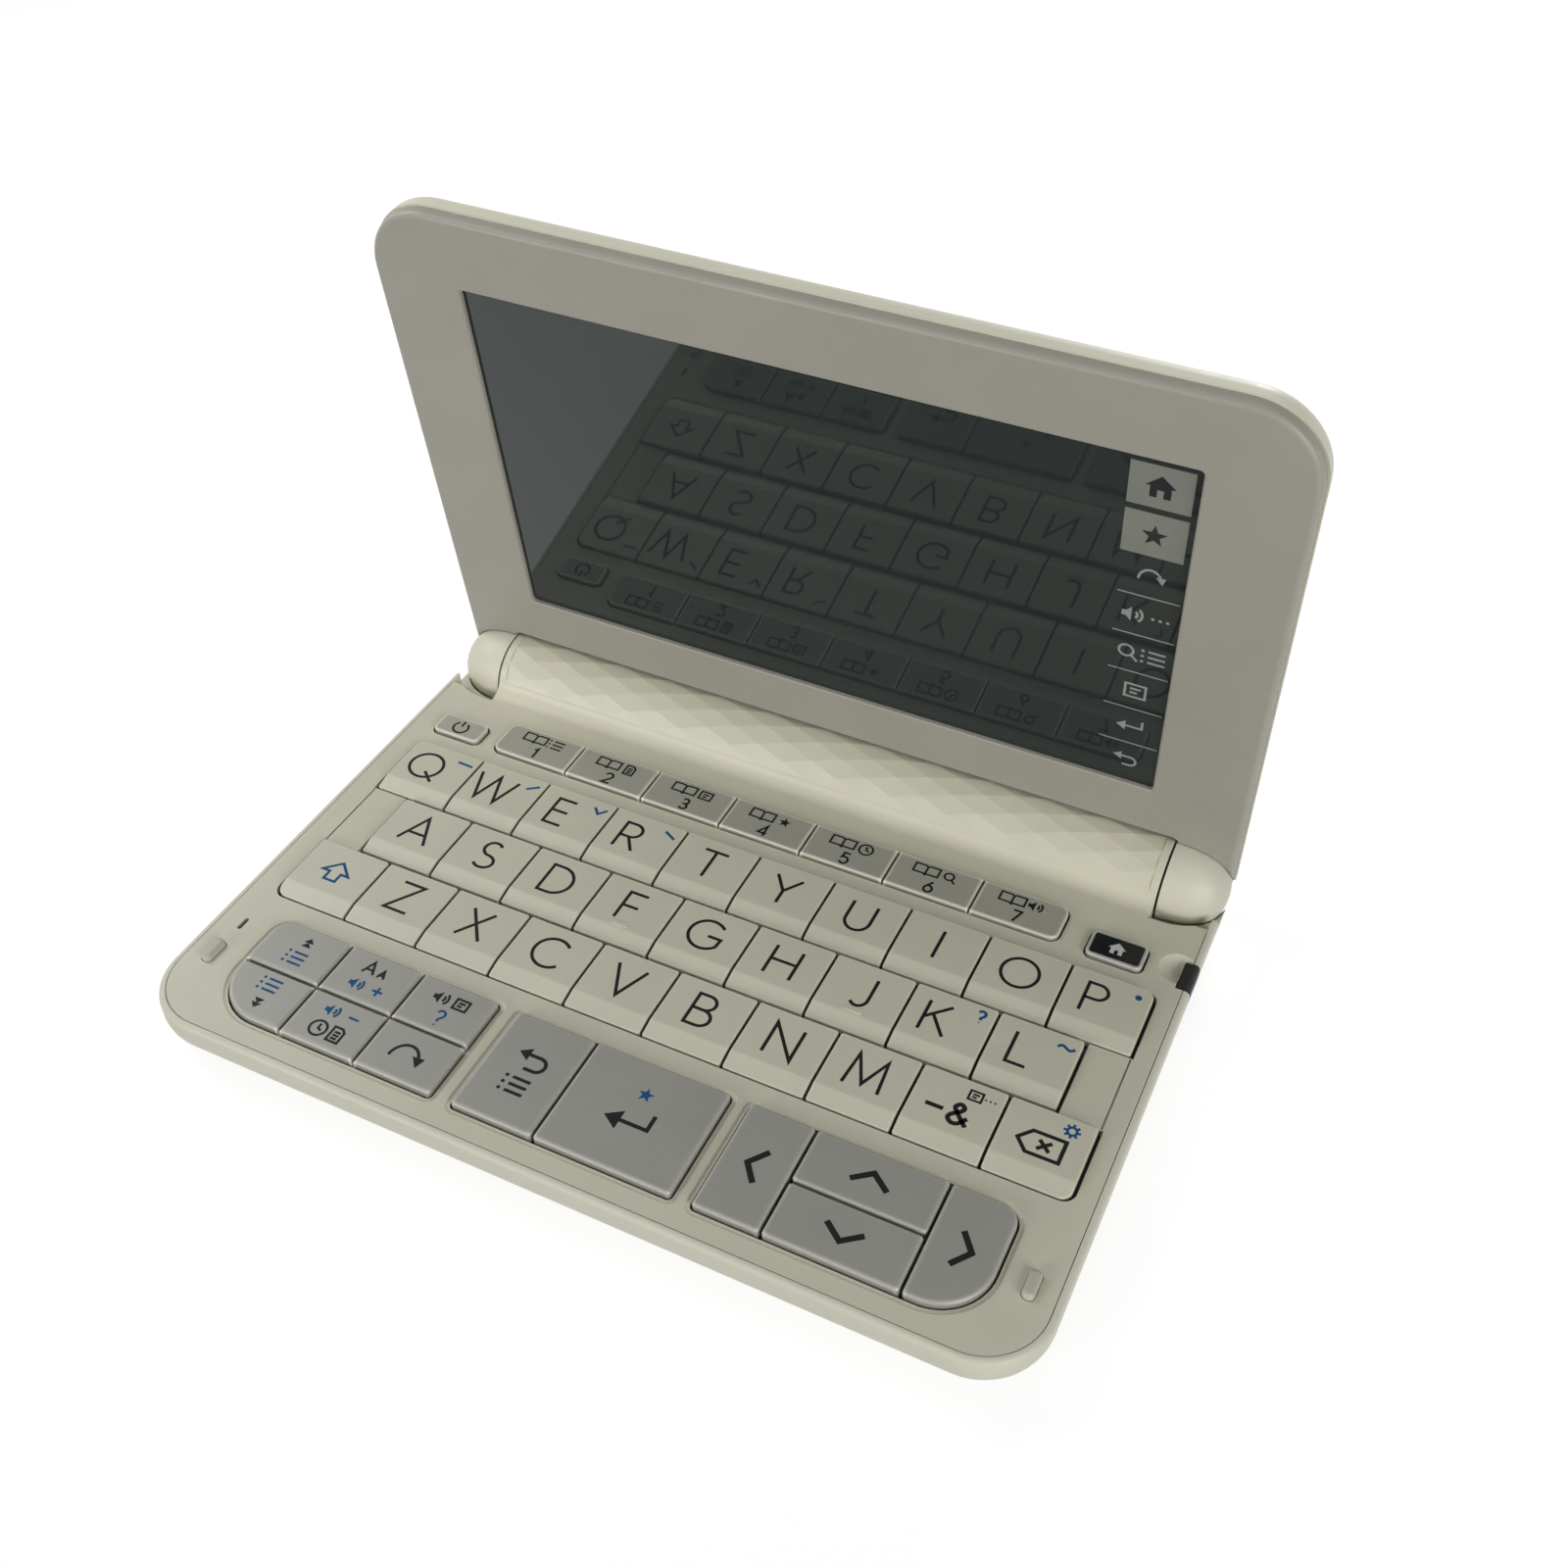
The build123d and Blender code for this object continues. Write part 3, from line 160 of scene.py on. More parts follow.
def metal_paint(name, colour, rough, metallic, fleck=0.04):
    """Satin silver paint: dense fine flakes over soft clouds, with a faint orange peel and a painted highlight
    along convex edges.
    """
    mat, tree, shader = new_material(name)
    flakes = ramp(tree, noise(tree, 14000, 1.0), 0.0, 1.0, 0.35, 0.65)
    clouds = ramp(tree, noise(tree, 90, 2.0), 0.0, 0.5)
    flaked = blend_colours(tree, flakes, tint(colour, 1 - fleck), tint(colour, 1 + fleck))
    satin = blend_colours(tree, clouds, flaked, tint(colour, 1.1))
    # Painted highlight: the colour is lightened up to 2.4 times along convex edges, where light would catch them.
    edge_highlight_mask = ramp(tree, nearness(tree, PAINT_EDGE_REACH, True), 1.0, 0.0, 0.55, 0.97)
    feed(tree, shader, "Base Color", blend_colours(tree, edge_highlight_mask, satin, tint(colour, 2.4)))
    feed(tree, shader, "Roughness", ramp(tree, noise(tree, 300, 3.0), rough - 0.03, rough + 0.03))
    add_bump(tree, shader, noise(tree, GRAIN, 2.0), 0.03, 0.00002)
    shader.inputs["Metallic"].default_value = metallic
    return mat


def metal(name, colour, rough, brushed):
    """Bare metal with fine lines; brushed is how the noise is squeezed along each axis."""
    mat, tree, shader = new_material(name)
    lines = noise(tree, 900, 4.0, brushed)
    streaks = ramp(tree, lines, 0.0, 1.0)
    feed(tree, shader, "Base Color", blend_colours(tree, streaks, tint(colour, 0.85), tint(colour, 1.1)))
    feed(tree, shader, "Roughness", ramp(tree, noise(tree, 500, 3.0), rough - 0.06, rough + 0.06))
    add_bump(tree, shader, lines, 0.1, 0.00003)
    shader.inputs["Metallic"].default_value = 1.0
    return mat


def ink(name, colour):
    """Pad-printed ink: slightly uneven density."""
    mat, tree, shader = new_material(name)
    cover = ramp(tree, noise(tree, 3000, 3.0), 0.0, 1.0)
    feed(tree, shader, "Base Color", blend_colours(tree, cover, tint(colour, 0.85), tint(colour, 1.15)))
    feed(tree, shader, "Roughness", ramp(tree, noise(tree, 1500, 2.0), 0.55, 0.65))
    shader.inputs["IOR"].default_value = 1.3
    return mat


def glass_panel(name, colour, rough=0.02):
    """Dark touch glass over a display that is switched off, with faint smears."""
    mat, tree, shader = new_material(name)
    smear = ramp(tree, noise(tree, 45, 4.0, (1, 2.2, 1), 0.4), 0.0, 1.0, 0.35, 0.75)
    feed(tree, shader, "Base Color", blend_colours(tree, smear, tint(colour, 0.94), tint(colour, 1.06)))
    feed(tree, shader, "Roughness", ramp(tree, smear, rough, rough + 0.03, 0.0, 1.0))
    shader.inputs["IOR"].default_value = 1.5
    return mat


IVORY = srgb(214, 212, 193)
IVORY_PANEL = srgb(210, 208, 187)
# The bezel ivory is partly a greyer paint and partly darkened as painted shade, for a front that faces forward and
# down.
BEZEL_IVORY_WITH_SHADE = srgb(161, 158, 147)
IVORY_KEY = srgb(207, 205, 185)
# Gap darkening in these materials is painted shade; the edge lightening on keys is a painted highlight.
case_mat = plastic("case_ivory", IVORY, 0.48, 0.04, mottle=0.015, bump=0.10, gap_shade=0.5)
panel_mat = plastic("panel_ivory", IVORY_PANEL, 0.42, 0.04, mottle=0.02, bump=0.08, gap_shade=0.6)
bezel_mat = plastic("bezel_ivory", BEZEL_IVORY_WITH_SHADE, 0.45, bump=0.12, gap_shade=0.6)
key_mat = plastic("key_ivory", IVORY_KEY, 0.46, bump=0.08, edge=0.8, gap_shade=0.8)
silver_mat = metal_paint("silver_key_paint", srgb(155, 154, 147), 0.42, 0.10)
# Painted light: a lighter copy of the key silver, for the row of keys that sits in shade at the back of the
# keyboard.
lightened_row_mat = metal_paint("silver_row_paint_lightened", srgb(168, 167, 155), 0.42, 0.12)
dark_mat = plastic("dark_plastic", srgb(30, 31, 31), 0.5, mottle=0.08, ior=1.35)
pad_mat = plastic("soft_pad", srgb(190, 188, 173), 0.42, bump=0.12)
screen_mat = glass_panel("touch_glass_dark", srgb(42, 49, 49))
lcd_mat = plastic("display_backing", srgb(40, 42, 44), 0.4, mottle=0.1)
board_mat = plastic("solder_mask_green", srgb(30, 92, 58), 0.35, mottle=0.2, bump=0.25)
rubber_mat = plastic("grey_rubber_sheet", srgb(96, 97, 98), 0.7, bump=0.4)
steel_mat = metal("steel_plain", srgb(190, 190, 188), 0.28, (1, 12, 1))
cell_mat = plastic("cell_wrap_film", srgb(70, 96, 120), 0.3, mottle=0.15)
black_mat = plastic("black_moulding", srgb(34, 34, 35), 0.45, mottle=0.1)
slot_materials = {
    "case_ivory": case_mat, "panel_ivory": panel_mat, "bezel_ivory": bezel_mat, "key_ivory": key_mat,
    "silver_key": silver_mat, "dark_key": dark_mat, "stop_pad": pad_mat, "screen_glass": screen_mat,
    "display_dark": lcd_mat, "board_green": board_mat, "grey_rubber": rubber_mat, "steel": steel_mat,
    "cell_wrap": cell_mat, "black_plastic": black_mat,
}
for part in frame["record"]["subparts"]:
    node = nodes[part["node"]]
    for place in node.material_slots:
        place.material = slot_materials[part["material_slot"]]
# These keys take the lighter silver copy, which paints light onto a row in shade.
for name in ("content_keys", "power_key"):
    for place in nodes[name].material_slots:
        place.material = lightened_row_mat
ink_black = ink("legend_black", srgb(18, 18, 20))
ink_blue = ink("legend_blue", srgb(20, 82, 130))
ink_white = ink("legend_white", srgb(200, 202, 198))
label_black = plastic("gloss_black_label", srgb(26, 28, 32), 0.16, mottle=0.1, bump=0.03)
lit_cell = glass_panel("touch_cell_light", srgb(134, 136, 128), 0.05)
cell_line = glass_panel("touch_cell_line", srgb(150, 154, 152), 0.05)
cell_ink = glass_panel("touch_cell_ink", srgb(38, 40, 42), 0.05)


# ---- strokes ----
def arc(cx, cy, rx, ry, start, end, steps=14):
    """Points along an elliptical arc, angles in degrees."""
    angles = [radians(start + (end - start) * i / steps) for i in range(steps + 1)]
    return [(cx + rx * cos(a), cy + ry * sin(a)) for a in angles]


def ring(cx, cy, rx, ry, steps=36):
    return arc(cx, cy, rx, ry, 0, 360 * (steps - 1) / steps, steps - 1)


def catmull_rom(a, b, c, d, t):
    """One coordinate between b and c."""
    square, cube = 2 * a - 5 * b + 4 * c - d, 3 * b - a - 3 * c + d
    return 0.5 * (2 * b + (c - a) * t + square * t * t + cube * t ** 3)


def smooth(points, steps=6):
    """Catmull-Rom curve through the points."""
    ends = [points[0]] + list(points) + [points[-1]]
    out = []
    for four in zip(ends, ends[1:], ends[2:], ends[3:]):
        for i in range(steps):
            out.append(tuple(catmull_rom(*values, i / steps) for values in zip(*four)))
    return out + [points[-1]]


def line(*points):
    return ("line", list(points))


def loop(points):
    return ("loop", list(points))


def fill(points):
    return ("fill", list(points))


def circle(x, y, radius, steps):
    return loop(ring(x, y, radius, radius, steps))


def dot(x, y, radius=0.2, steps=8):
    return fill(ring(x, y, radius, radius, steps))


def star(outer, inner):
    """Outline of a five-pointed star."""
    radii = [inner if i % 2 else outer for i in range(10)]
    return [(r * sin(pi * i / 5), r * cos(pi * i / 5)) for i, r in enumerate(radii)]


# Each glyph is its width and its strokes, in units of the letter height.
GLYPHS = {
    "A": (0.86, [line((0, 0), (0.43, 1), (0.86, 0)), line((0.15, 0.34), (0.71, 0.34))]),
    "B": (0.62, [line((0, 0.52), (0, 1), *arc(0.30, 0.76, 0.25, 0.24, 90, -90), (0, 0.52)),
                 line((0, 0.52), *arc(0.33, 0.26, 0.29, 0.26, 90, -90), (0, 0), (0, 0.52))]),
    "C": (0.88, [line(*arc(0.50, 0.5, 0.50, 0.5, 44, 316, 24))]),
    "D": (0.80, [loop([(0, 0), (0, 1), *arc(0.30, 0.5, 0.50, 0.5, 90, -90, 18)])]),
    "E": (0.55, [line((0.55, 1), (0, 1), (0, 0), (0.55, 0)), line((0, 0.52), (0.50, 0.52))]),
    "F": (0.53, [line((0.53, 1), (0, 1), (0, 0)), line((0, 0.5), (0.47, 0.5))]),
    "G": (0.96, [line(*arc(0.50, 0.5, 0.50, 0.5, 44, 322, 24), (0.93, 0.47), (0.55, 0.47))]),
    "H": (0.74, [line((0, 0), (0, 1)), line((0.74, 0), (0.74, 1)), line((0, 0.52), (0.74, 0.52))]),
    "I": (0.0, [line((0, 0), (0, 1))]),
    "J": (0.46, [line((0.46, 1), *arc(0.22, 0.27, 0.24, 0.27, 0, -140, 10))]),
    "K": (0.66, [line((0, 0), (0, 1)), line((0.60, 1), (0, 0.42)), line((0.20, 0.61), (0.66, 0))]),
    "L": (0.52, [line((0, 1), (0, 0), (0.52, 0))]),
    "M": (0.94, [line((0, 0), (0.09, 1), (0.47, 0.14), (0.85, 1), (0.94, 0))]),
    "N": (0.76, [line((0, 0), (0, 1), (0.76, 0), (0.76, 1))]),
    "O": (1.0, [loop(ring(0.5, 0.5, 0.5, 0.5))]),
    "P": (0.56, [line((0, 0), (0, 1), *arc(0.29, 0.74, 0.27, 0.26, 90, -90), (0, 0.48))]),
    "Q": (1.0, [loop(ring(0.5, 0.5, 0.5, 0.5)), line((0.60, 0.27), (0.98, -0.06))]),
    "R": (0.60, [line((0, 0), (0, 1), *arc(0.29, 0.74, 0.27, 0.26, 90, -90), (0, 0.48)),
                 line((0.28, 0.48), (0.60, 0))]),
    "S": (0.60, [line(*arc(0.31, 0.745, 0.25, 0.255, 38, 270, 14),
                      *arc(0.30, 0.245, 0.29, 0.245, 90, -145, 14)[1:])]),
    "T": (0.72, [line((0, 1), (0.72, 1)), line((0.36, 1), (0.36, 0))]),
    "U": (0.70, [line((0, 1), *arc(0.35, 0.36, 0.35, 0.36, 180, 360, 16), (0.70, 1))]),
    "V": (0.84, [line((0, 1), (0.42, 0), (0.84, 1))]),
    "W": (1.24, [line((0, 1), (0.31, 0), (0.62, 1), (0.93, 0), (1.24, 1))]),
    "X": (0.74, [line((0, 0), (0.70, 1)), line((0.03, 1), (0.74, 0))]),
    "Y": (0.76, [line((0, 1), (0.38, 0.47), (0.76, 1)), line((0.38, 0.47), (0.38, 0))]),
    "Z": (0.70, [line((0.02, 1), (0.68, 1), (0, 0), (0.70, 0))]),
    "&": (0.86, [line(*smooth([(0.86, 0.0), (0.24, 0.66), (0.20, 0.86), (0.37, 0.99), (0.54, 0.85),
                               (0.46, 0.66), (0.14, 0.40), (0.06, 0.20), (0.24, 0.02), (0.52, 0.06),
                               (0.80, 0.42)]))]),
    "-": (0.50, [line((0, 0.42), (0.50, 0.42))]),
    "?": (0.46, [line(*arc(0.23, 0.76, 0.22, 0.23, 165, -45, 12), (0.24, 0.42), (0.24, 0.27)),
                 dot(0.24, 0.05, 0.06, 10)]),
    "1": (0.24, [line((0, 0.78), (0.22, 1), (0.22, 0))]),
    "2": (0.58, [line(*arc(0.28, 0.72, 0.27, 0.28, 165, -35, 12), (0, 0), (0.58, 0))]),
    "3": (0.55, [line(*arc(0.27, 0.755, 0.23, 0.245, 150, -90, 12),
                      *arc(0.27, 0.255, 0.27, 0.255, 90, -150, 12)[1:])]),
    "4": (0.62, [line((0.46, 0), (0.46, 1), (0, 0.27), (0.62, 0.27))]),
    "5": (0.56, [line((0.52, 1), (0.11, 1), (0.06, 0.56), *arc(0.27, 0.32, 0.29, 0.32, 120, -150, 14))]),
    "6": (0.56, [loop(ring(0.28, 0.30, 0.28, 0.30, 24)), line((0.44, 1), (0.06, 0.47))]),
    "7": (0.56, [line((0, 1), (0.56, 1), (0.18, 0))]),
}


def write(text, height, x=0.0, y=0.0, gap=0.28):
    """Strokes of a short text, centred on x and y, in millimetres."""
    total = sum(GLYPHS[c][0] for c in text) + gap * (len(text) - 1)
    pen = -total / 2
    out = []
    for c in text:
        width, strokes = GLYPHS[c]
        for kind, points in strokes:
            out.append((kind, [(x + (pen + px) * height, y + (py - 0.5) * height) for px, py in points]))
        pen += width + gap
    return out


def put(strokes, x=0.0, y=0.0, scale=1.0, turn=0.0):
    """Icon strokes moved, scaled and turned."""
    c, s = cos(radians(turn)) * scale, sin(radians(turn)) * scale
    return [
        (kind, [(x + px * c - py * s, y + px * s + py * c) for px, py in points])
        for kind, points in strokes
    ]


# Icons are drawn about their own middle, roughly from -1 to 1.
ICON_SPEAKER = [
    fill([(-1.3, -0.35), (-0.85, -0.35), (-0.3, -0.95), (-0.3, 0.95), (-0.85, 0.35), (-1.3, 0.35)]),
    line(*arc(-0.25, 0, 0.55, 0.55, -48, 48, 6)), line(*arc(-0.25, 0, 1.05, 1.05, -48, 48, 8)),
]
ICON_TWO_UP = [
    fill([(-0.95, -1.0), (0.95, -1.0), (0, 0.05)]),
    fill([(-0.95, -0.05), (0.95, -0.05), (0, 1.0)]),
]
ICON_BOOK = [
    loop([(0, -0.95), (0.35, -0.72), (1.9, -0.72), (1.9, 0.95), (0.35, 0.95), (0, 0.72),
          (-0.35, 0.95), (-1.9, 0.95), (-1.9, -0.72), (-0.35, -0.72)]),
    line((0, 0.72), (0, -0.95)),
]
ICON_PAGE = [
    loop([(-0.75, -1.0), (0.75, -1.0), (0.75, 0.55), (0.3, 1.0), (-0.75, 1.0)]),
    line((-0.4, 0.35), (0.4, 0.35)), line((-0.4, -0.1), (0.4, -0.1)), line((-0.4, -0.55), (0.4, -0.55)),
]
ICON_LIST = [line((-0.6, y), (1.3, y)) for y in (0.8, 0, -0.8)] + [dot(-1.2, y) for y in (0.8, 0, -0.8)]
ICON_CLOCK = [circle(0, 0, 1.05, 22), line((0, 0.65), (0, 0), (0.5, -0.25))]
ICON_HOME = [
    fill([(-0.8, -0.95), (-0.25, -0.95), (-0.25, -0.25), (0.25, -0.25), (0.25, -0.95), (0.8, -0.95),
          (0.8, 0.05), (1.15, 0.05), (0, 1.05), (-1.15, 0.05), (-0.8, 0.05)]),
]
ICON_POWER = [line(*arc(0, -0.05, 0.95, 0.95, 125, 415, 20)), line((0, 0.15), (0, 1.1))]
ICON_JUMP = [
    line(*arc(-0.1, -0.75, 1.15, 1.35, 180, 25, 12)),
    fill([(0.45, -0.15), (1.45, -0.05), (1.15, -1.0)]),
]
ICON_RETURN = [
    line((1.1, 0.9), (1.1, -0.05), (-0.7, -0.05)),
    fill([(-1.35, -0.05), (-0.45, 0.55), (-0.45, -0.65)]),
]
ICON_BACK = [
    line((-0.6, 0.6), *arc(0.45, 0.0, 0.6, 0.6, 90, -90, 10), (-0.3, -0.6)),
    fill([(-1.3, 0.6), (-0.45, 1.15), (-0.45, 0.05)]),
]
ICON_ERASE = [
    loop([(-1.9, 0), (-0.95, 1.05), (1.7, 1.05), (1.7, -1.05), (-0.95, -1.05)]),
    line((-0.25, 0.45), (0.75, -0.45)), line((-0.25, -0.45), (0.75, 0.45)),
]
ICON_SEARCH = [circle(-0.2, 0.2, 0.7, 20), line((0.3, -0.3), (0.95, -0.95))]
ICON_NOTE = [
    loop([(-0.95, -0.8), (0.95, -0.8), (0.95, 0.8), (-0.95, 0.8)]),
    line((-0.5, 0.25), (0.5, 0.25)), line((-0.5, -0.25), (0.2, -0.25)),
]
ICON_STAR = [fill(star(0.98, 0.98 * 0.42))]
ICON_SHIFT = [
    loop([(0, 1.1), (1.25, -0.1), (0.55, -0.1), (0.55, -1.0), (-0.55, -1.0), (-0.55, -0.1), (-1.25, -0.1)]),
]
ICON_GEAR = [circle(0, 0, 0.55, 16)] + [
    line((0.6 * cos(a), 0.6 * sin(a)), (cos(a), sin(a))) for a in [pi * i / 4 for i in range(8)]
]
ICON_PLUS = [line((-0.6, 0), (0.6, 0)), line((0, -0.6), (0, 0.6))]
ICON_MINUS = [line((-0.6, 0), (0.6, 0))]
ICON_DOTS = [dot(x, 0) for x in (-0.8, 0, 0.8)]
ICON_SIZES = [
    line((-1.6, -0.9), (-0.85, 0.9), (-0.1, -0.9)), line((-1.33, -0.3), (-0.37, -0.3)),
    line((0.5, -0.9), (0.95, 0.2), (1.4, -0.9)), line((0.67, -0.5), (1.23, -0.5)),
]


def ribbon(points, width, closed):
    """Left and right edge of a mitred stroke."""
    half = width / 2
    count = len(points)
    left, right = [], []
    for i, (x, y) in enumerate(points):
        before = points[i - 1] if i > 0 or closed else None
        after = points[(i + 1) % count] if i < count - 1 or closed else None
        normals = []
        for a, b in ((before, (x, y)), ((x, y), after)):
            if a is None or b is None:
                continue
            length = hypot(b[0] - a[0], b[1] - a[1])
            normals.append((-(b[1] - a[1]) / length, (b[0] - a[0]) / length))
        if len(normals) == 1:
            nx, ny = normals[0]
            reach = half
        else:
            nx, ny = normals[0][0] + normals[1][0], normals[0][1] + normals[1][1]
            length = max(hypot(nx, ny), 1e-6)
            nx, ny = nx / length, ny / length
            reach = half / max(length / 2, 0.3)
        left.append((x + nx * reach, y + ny * reach))
        right.append((x - nx * reach, y - ny * reach))
    return left, right


def printed(name, body, groups, origin, u, v, lift=0.012, depth=0.02):
    """A print of thin raised ink; groups are (material, stroke width, strokes) in millimetres."""
    normal = u.cross(v)
    verts, faces, kinds = [], [], []

    def point(x, y, height):
        verts.append(origin + (u * x + v * y + normal * height) * MM)
        return len(verts) - 1

    for kind_index, (material, width, strokes) in enumerate(groups):
        for order, (kind, points) in enumerate(strokes):
            top = lift + 0.001 * (order % 6)
            if kind == "fill":
                area = sum(a[0] * b[1] - b[0] * a[1] for a, b in zip(points, points[1:] + points[:1]))
                ordered = points if area > 0 else points[::-1]
                upper = [point(x, y, top) for x, y in ordered]
                lower = [point(x, y, top - depth) for x, y in ordered]
                faces.append(upper)
                for i in range(len(upper)):
                    j = (i + 1) % len(upper)
                    faces.append([upper[i], lower[i], lower[j], upper[j]])
                kinds += [kind_index] * (len(upper) + 1)
                continue
            closed = kind == "loop"
            left, right = ribbon(points, width, closed)
            edges = [[point(x, y, h) for x, y in side] for side in (left, right) for h in (top, top - depth)]
            lt, lb, rt, rb = edges
            spans = len(points) if closed else len(points) - 1
            for i in range(spans):
                j = (i + 1) % len(points)
                faces.append([rt[i], rt[j], lt[j], lt[i]])
                faces.append([lt[i], lt[j], lb[j], lb[i]])
                faces.append([rt[j], rt[i], rb[i], rb[j]])
                kinds += [kind_index] * 3
            if not closed:
                faces.append([lt[0], lb[0], rb[0], rt[0]])
                faces.append([rt[-1], rb[-1], lb[-1], lt[-1]])
                kinds += [kind_index] * 2
    mesh = bpy.data.meshes.new(name)
    mesh.from_pydata([tuple(p) for p in verts], [], faces)
    for material, _, _ in groups:
        mesh.materials.append(material)
    mesh.polygons.foreach_set("material_index", kinds)
    mesh.update()
    piece = bpy.data.objects.new(name, mesh)
    bpy.context.scene.collection.objects.link(piece)
    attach(piece, body)


RIGHT = Vector((1, 0, 0))
AWAY = Vector((0, 1, 0))


def on_key(node, groups, x=0.0, y=0.0, z=None, tag=""):
    """Print on top of a key, placed from the middle of its box."""
    low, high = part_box(node)
    middle = (low + high) / 2
    centre = Vector((middle.x + x * MM, middle.y + y * MM, high.z if z is None else z))
    printed(f"print_{node}{tag}", body_of_node[node], groups, centre, RIGHT, AWAY)


# ---- letter keys ----
letter_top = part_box("key_q")[1].z
LETTER_INK = 0.56  # stroke widths in millimetres
MARK_INK = 0.5
FINE_INK = 0.42
ROW_INK = 0.36
CHEVRON_INK = 0.92
LETTER_HEIGHT = 6.1
LETTER_FROM_FRONT = 7.85
MARKED_SHIFT = -1.5  # a letter with a blue mark beside it stands further left
marks = {
    "q": [line((-1.5, 0.08), (1.5, -0.08))],
    "w": [line((-0.7, -0.7), (1.3, 0.7))],
    "e": [line((-1.2, 0.55), (0, -0.75), (1.2, 0.62))],
    "r": [line((-1.1, 0.6), (1.1, -0.6))],
    "p": [dot(0, 0, 0.55, 16)],
    "k": write("?", 2.5),
    "l": [line(*smooth([(-1.35, -0.2), (-0.65, 0.3), (0.55, -0.3), (1.35, 0.2)]))],
}
for key in "qwertyuiopasdfghjklzxcvbnm":
    low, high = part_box(f"key_{key}")
    shift = MARKED_SHIFT if key in marks else 0.0
    up = LETTER_FROM_FRONT - (high.y - low.y) / MM / 2
    groups = [(ink_black, LETTER_INK, write(key.upper(), LETTER_HEIGHT, shift - 0.12, up))]
    if key in marks:
        groups.append((ink_blue, MARK_INK, put(marks[key], 4.5, 4.3)))
    on_key(f"key_{key}", groups, z=letter_top)
on_key("key_shift", [(ink_blue, MARK_INK, put(ICON_SHIFT, 0, 1.0, 2.0))])
on_key("key_dash", [
    (ink_black, 0.72, [line((-4.1, 0.1), (-1.3, 0.1))] + write("&", 3.7, 1.2, 0.1)),
    (ink_black, ROW_INK, put(ICON_NOTE, 2.3, 4.2, 1.05) + put(ICON_DOTS, 4.6, 4.2, 0.9)),
])
on_key("key_delete", [
    (ink_black, 0.62, put(ICON_ERASE, 0.0, 0.2, 1.9)),
    (ink_blue, FINE_INK, put(ICON_GEAR, 3.3, 4.4, 1.3)),
])

# ---- silver keys ----
chevron = [line((-2.85, -1.05), (0, 1.15), (2.85, -1.05))]
for way, turn in (("left", 90), ("right", -90), ("up", 0), ("down", 180)):
    on_key(f"arrow_{way}_key", [(ink_black, CHEVRON_INK, put(chevron, turn=turn))])
on_key("back_key", [
    (ink_black, 0.6, put(ICON_BACK, 0.2, 1.7, 2.2)),
    (ink_black, 0.55, put(ICON_LIST, 0, -2.9, 1.6)),
])
on_key("enter_key", [
    (ink_black, 0.66, put(ICON_RETURN, 0, -1.4, 2.9)),
    (ink_blue, 0.4, put(ICON_STAR, 0, 4.0, 1.35)),
])
low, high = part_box("function_keys")
cell_x = (high.x - low.x) / MM / 3
half_row = (high.y - low.y) / MM / 4
function_marks = (  # column, row, groups
    (-1, 1, [(ink_black, FINE_INK, put(ICON_TWO_UP, 0.3, 2.0, 0.95)),
             (ink_blue, FINE_INK, put(ICON_LIST, 0.2, -1.5, 1.35))]),
    (0, 1, [(ink_black, FINE_INK, put(ICON_SIZES, -0.2, 2.0, 1.35)),
            (ink_blue, FINE_INK, put(ICON_SPEAKER, -1.3, -1.7, 1.2) + put(ICON_PLUS, 2.4, -1.7, 1.5))]),
    (1, 1, [(ink_black, FINE_INK, put(ICON_SPEAKER, -1.4, 1.7, 1.25) + put(ICON_NOTE, 2.0, 1.7, 1.2)),
            (ink_blue, FINE_INK, write("?", 3.0, 0.2, -1.9))]),
    (-1, -1, [(ink_blue, FINE_INK, put(ICON_LIST, 0.2, 1.9, 1.35)),
              (ink_black, FINE_INK, put(ICON_TWO_UP, 0.6, -1.9, 0.95, 180))]),
    (0, -1, [(ink_blue, FINE_INK, put(ICON_SPEAKER, -1.3, 1.9, 1.2) + put(ICON_MINUS, 2.4, 1.9, 1.5)),
             (ink_black, FINE_INK, put(ICON_CLOCK, -1.5, -1.8, 1.35) + put(ICON_PAGE, 1.8, -1.8, 1.35))]),
    (1, -1, [(ink_black, 0.5, put(ICON_JUMP, 0, 0.2, 2.1))]),
)
for column, row, groups in function_marks:
    on_key("function_keys", groups, column * cell_x, row * half_row, tag=f"_{column + 1}{(row + 1) // 2}")

# ---- top row ----
low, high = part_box("content_keys")
topics = (ICON_LIST, ICON_PAGE, ICON_NOTE, ICON_STAR, ICON_CLOCK, ICON_SEARCH, ICON_SPEAKER)
pitch = (high.x - low.x) / MM / len(topics)
for index, topic in enumerate(topics):
    groups = [(ink_black, ROW_INK, put(ICON_BOOK, -1.7, 1.6, 1.15) + put(topic, 2.5, 1.6, 1.15)),
              (ink_black, FINE_INK, write(str(index + 1), 2.5, 0, -1.75))]
    on_key("content_keys", groups, (index - 3) * pitch, tag=f"_{index + 1}")
on_key("power_key", [(ink_black, FINE_INK, put(ICON_POWER, 0, -0.05, 1.5))])
low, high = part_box("home_key")
LABEL_BORDER = 0.55
LABEL_CORNER = 0.45
reach_x = (high.x - low.x) / MM / 2 - LABEL_BORDER - LABEL_CORNER
reach_y = (high.y - low.y) / MM / 2 - LABEL_BORDER - LABEL_CORNER
label = []
for side, way, start in ((1, 1, 0), (-1, 1, 90), (-1, -1, 180), (1, -1, 270)):
    label += arc(side * reach_x, way * reach_y, LABEL_CORNER, LABEL_CORNER, start, start + 90, 5)
on_key("home_key", [(label_black, 0.1, [fill(label)])], tag="_label")
on_key("home_key", [(ink_white, 0.3, put(ICON_HOME, 0, 0, 1.25))], z=high.z + 0.015 * MM)

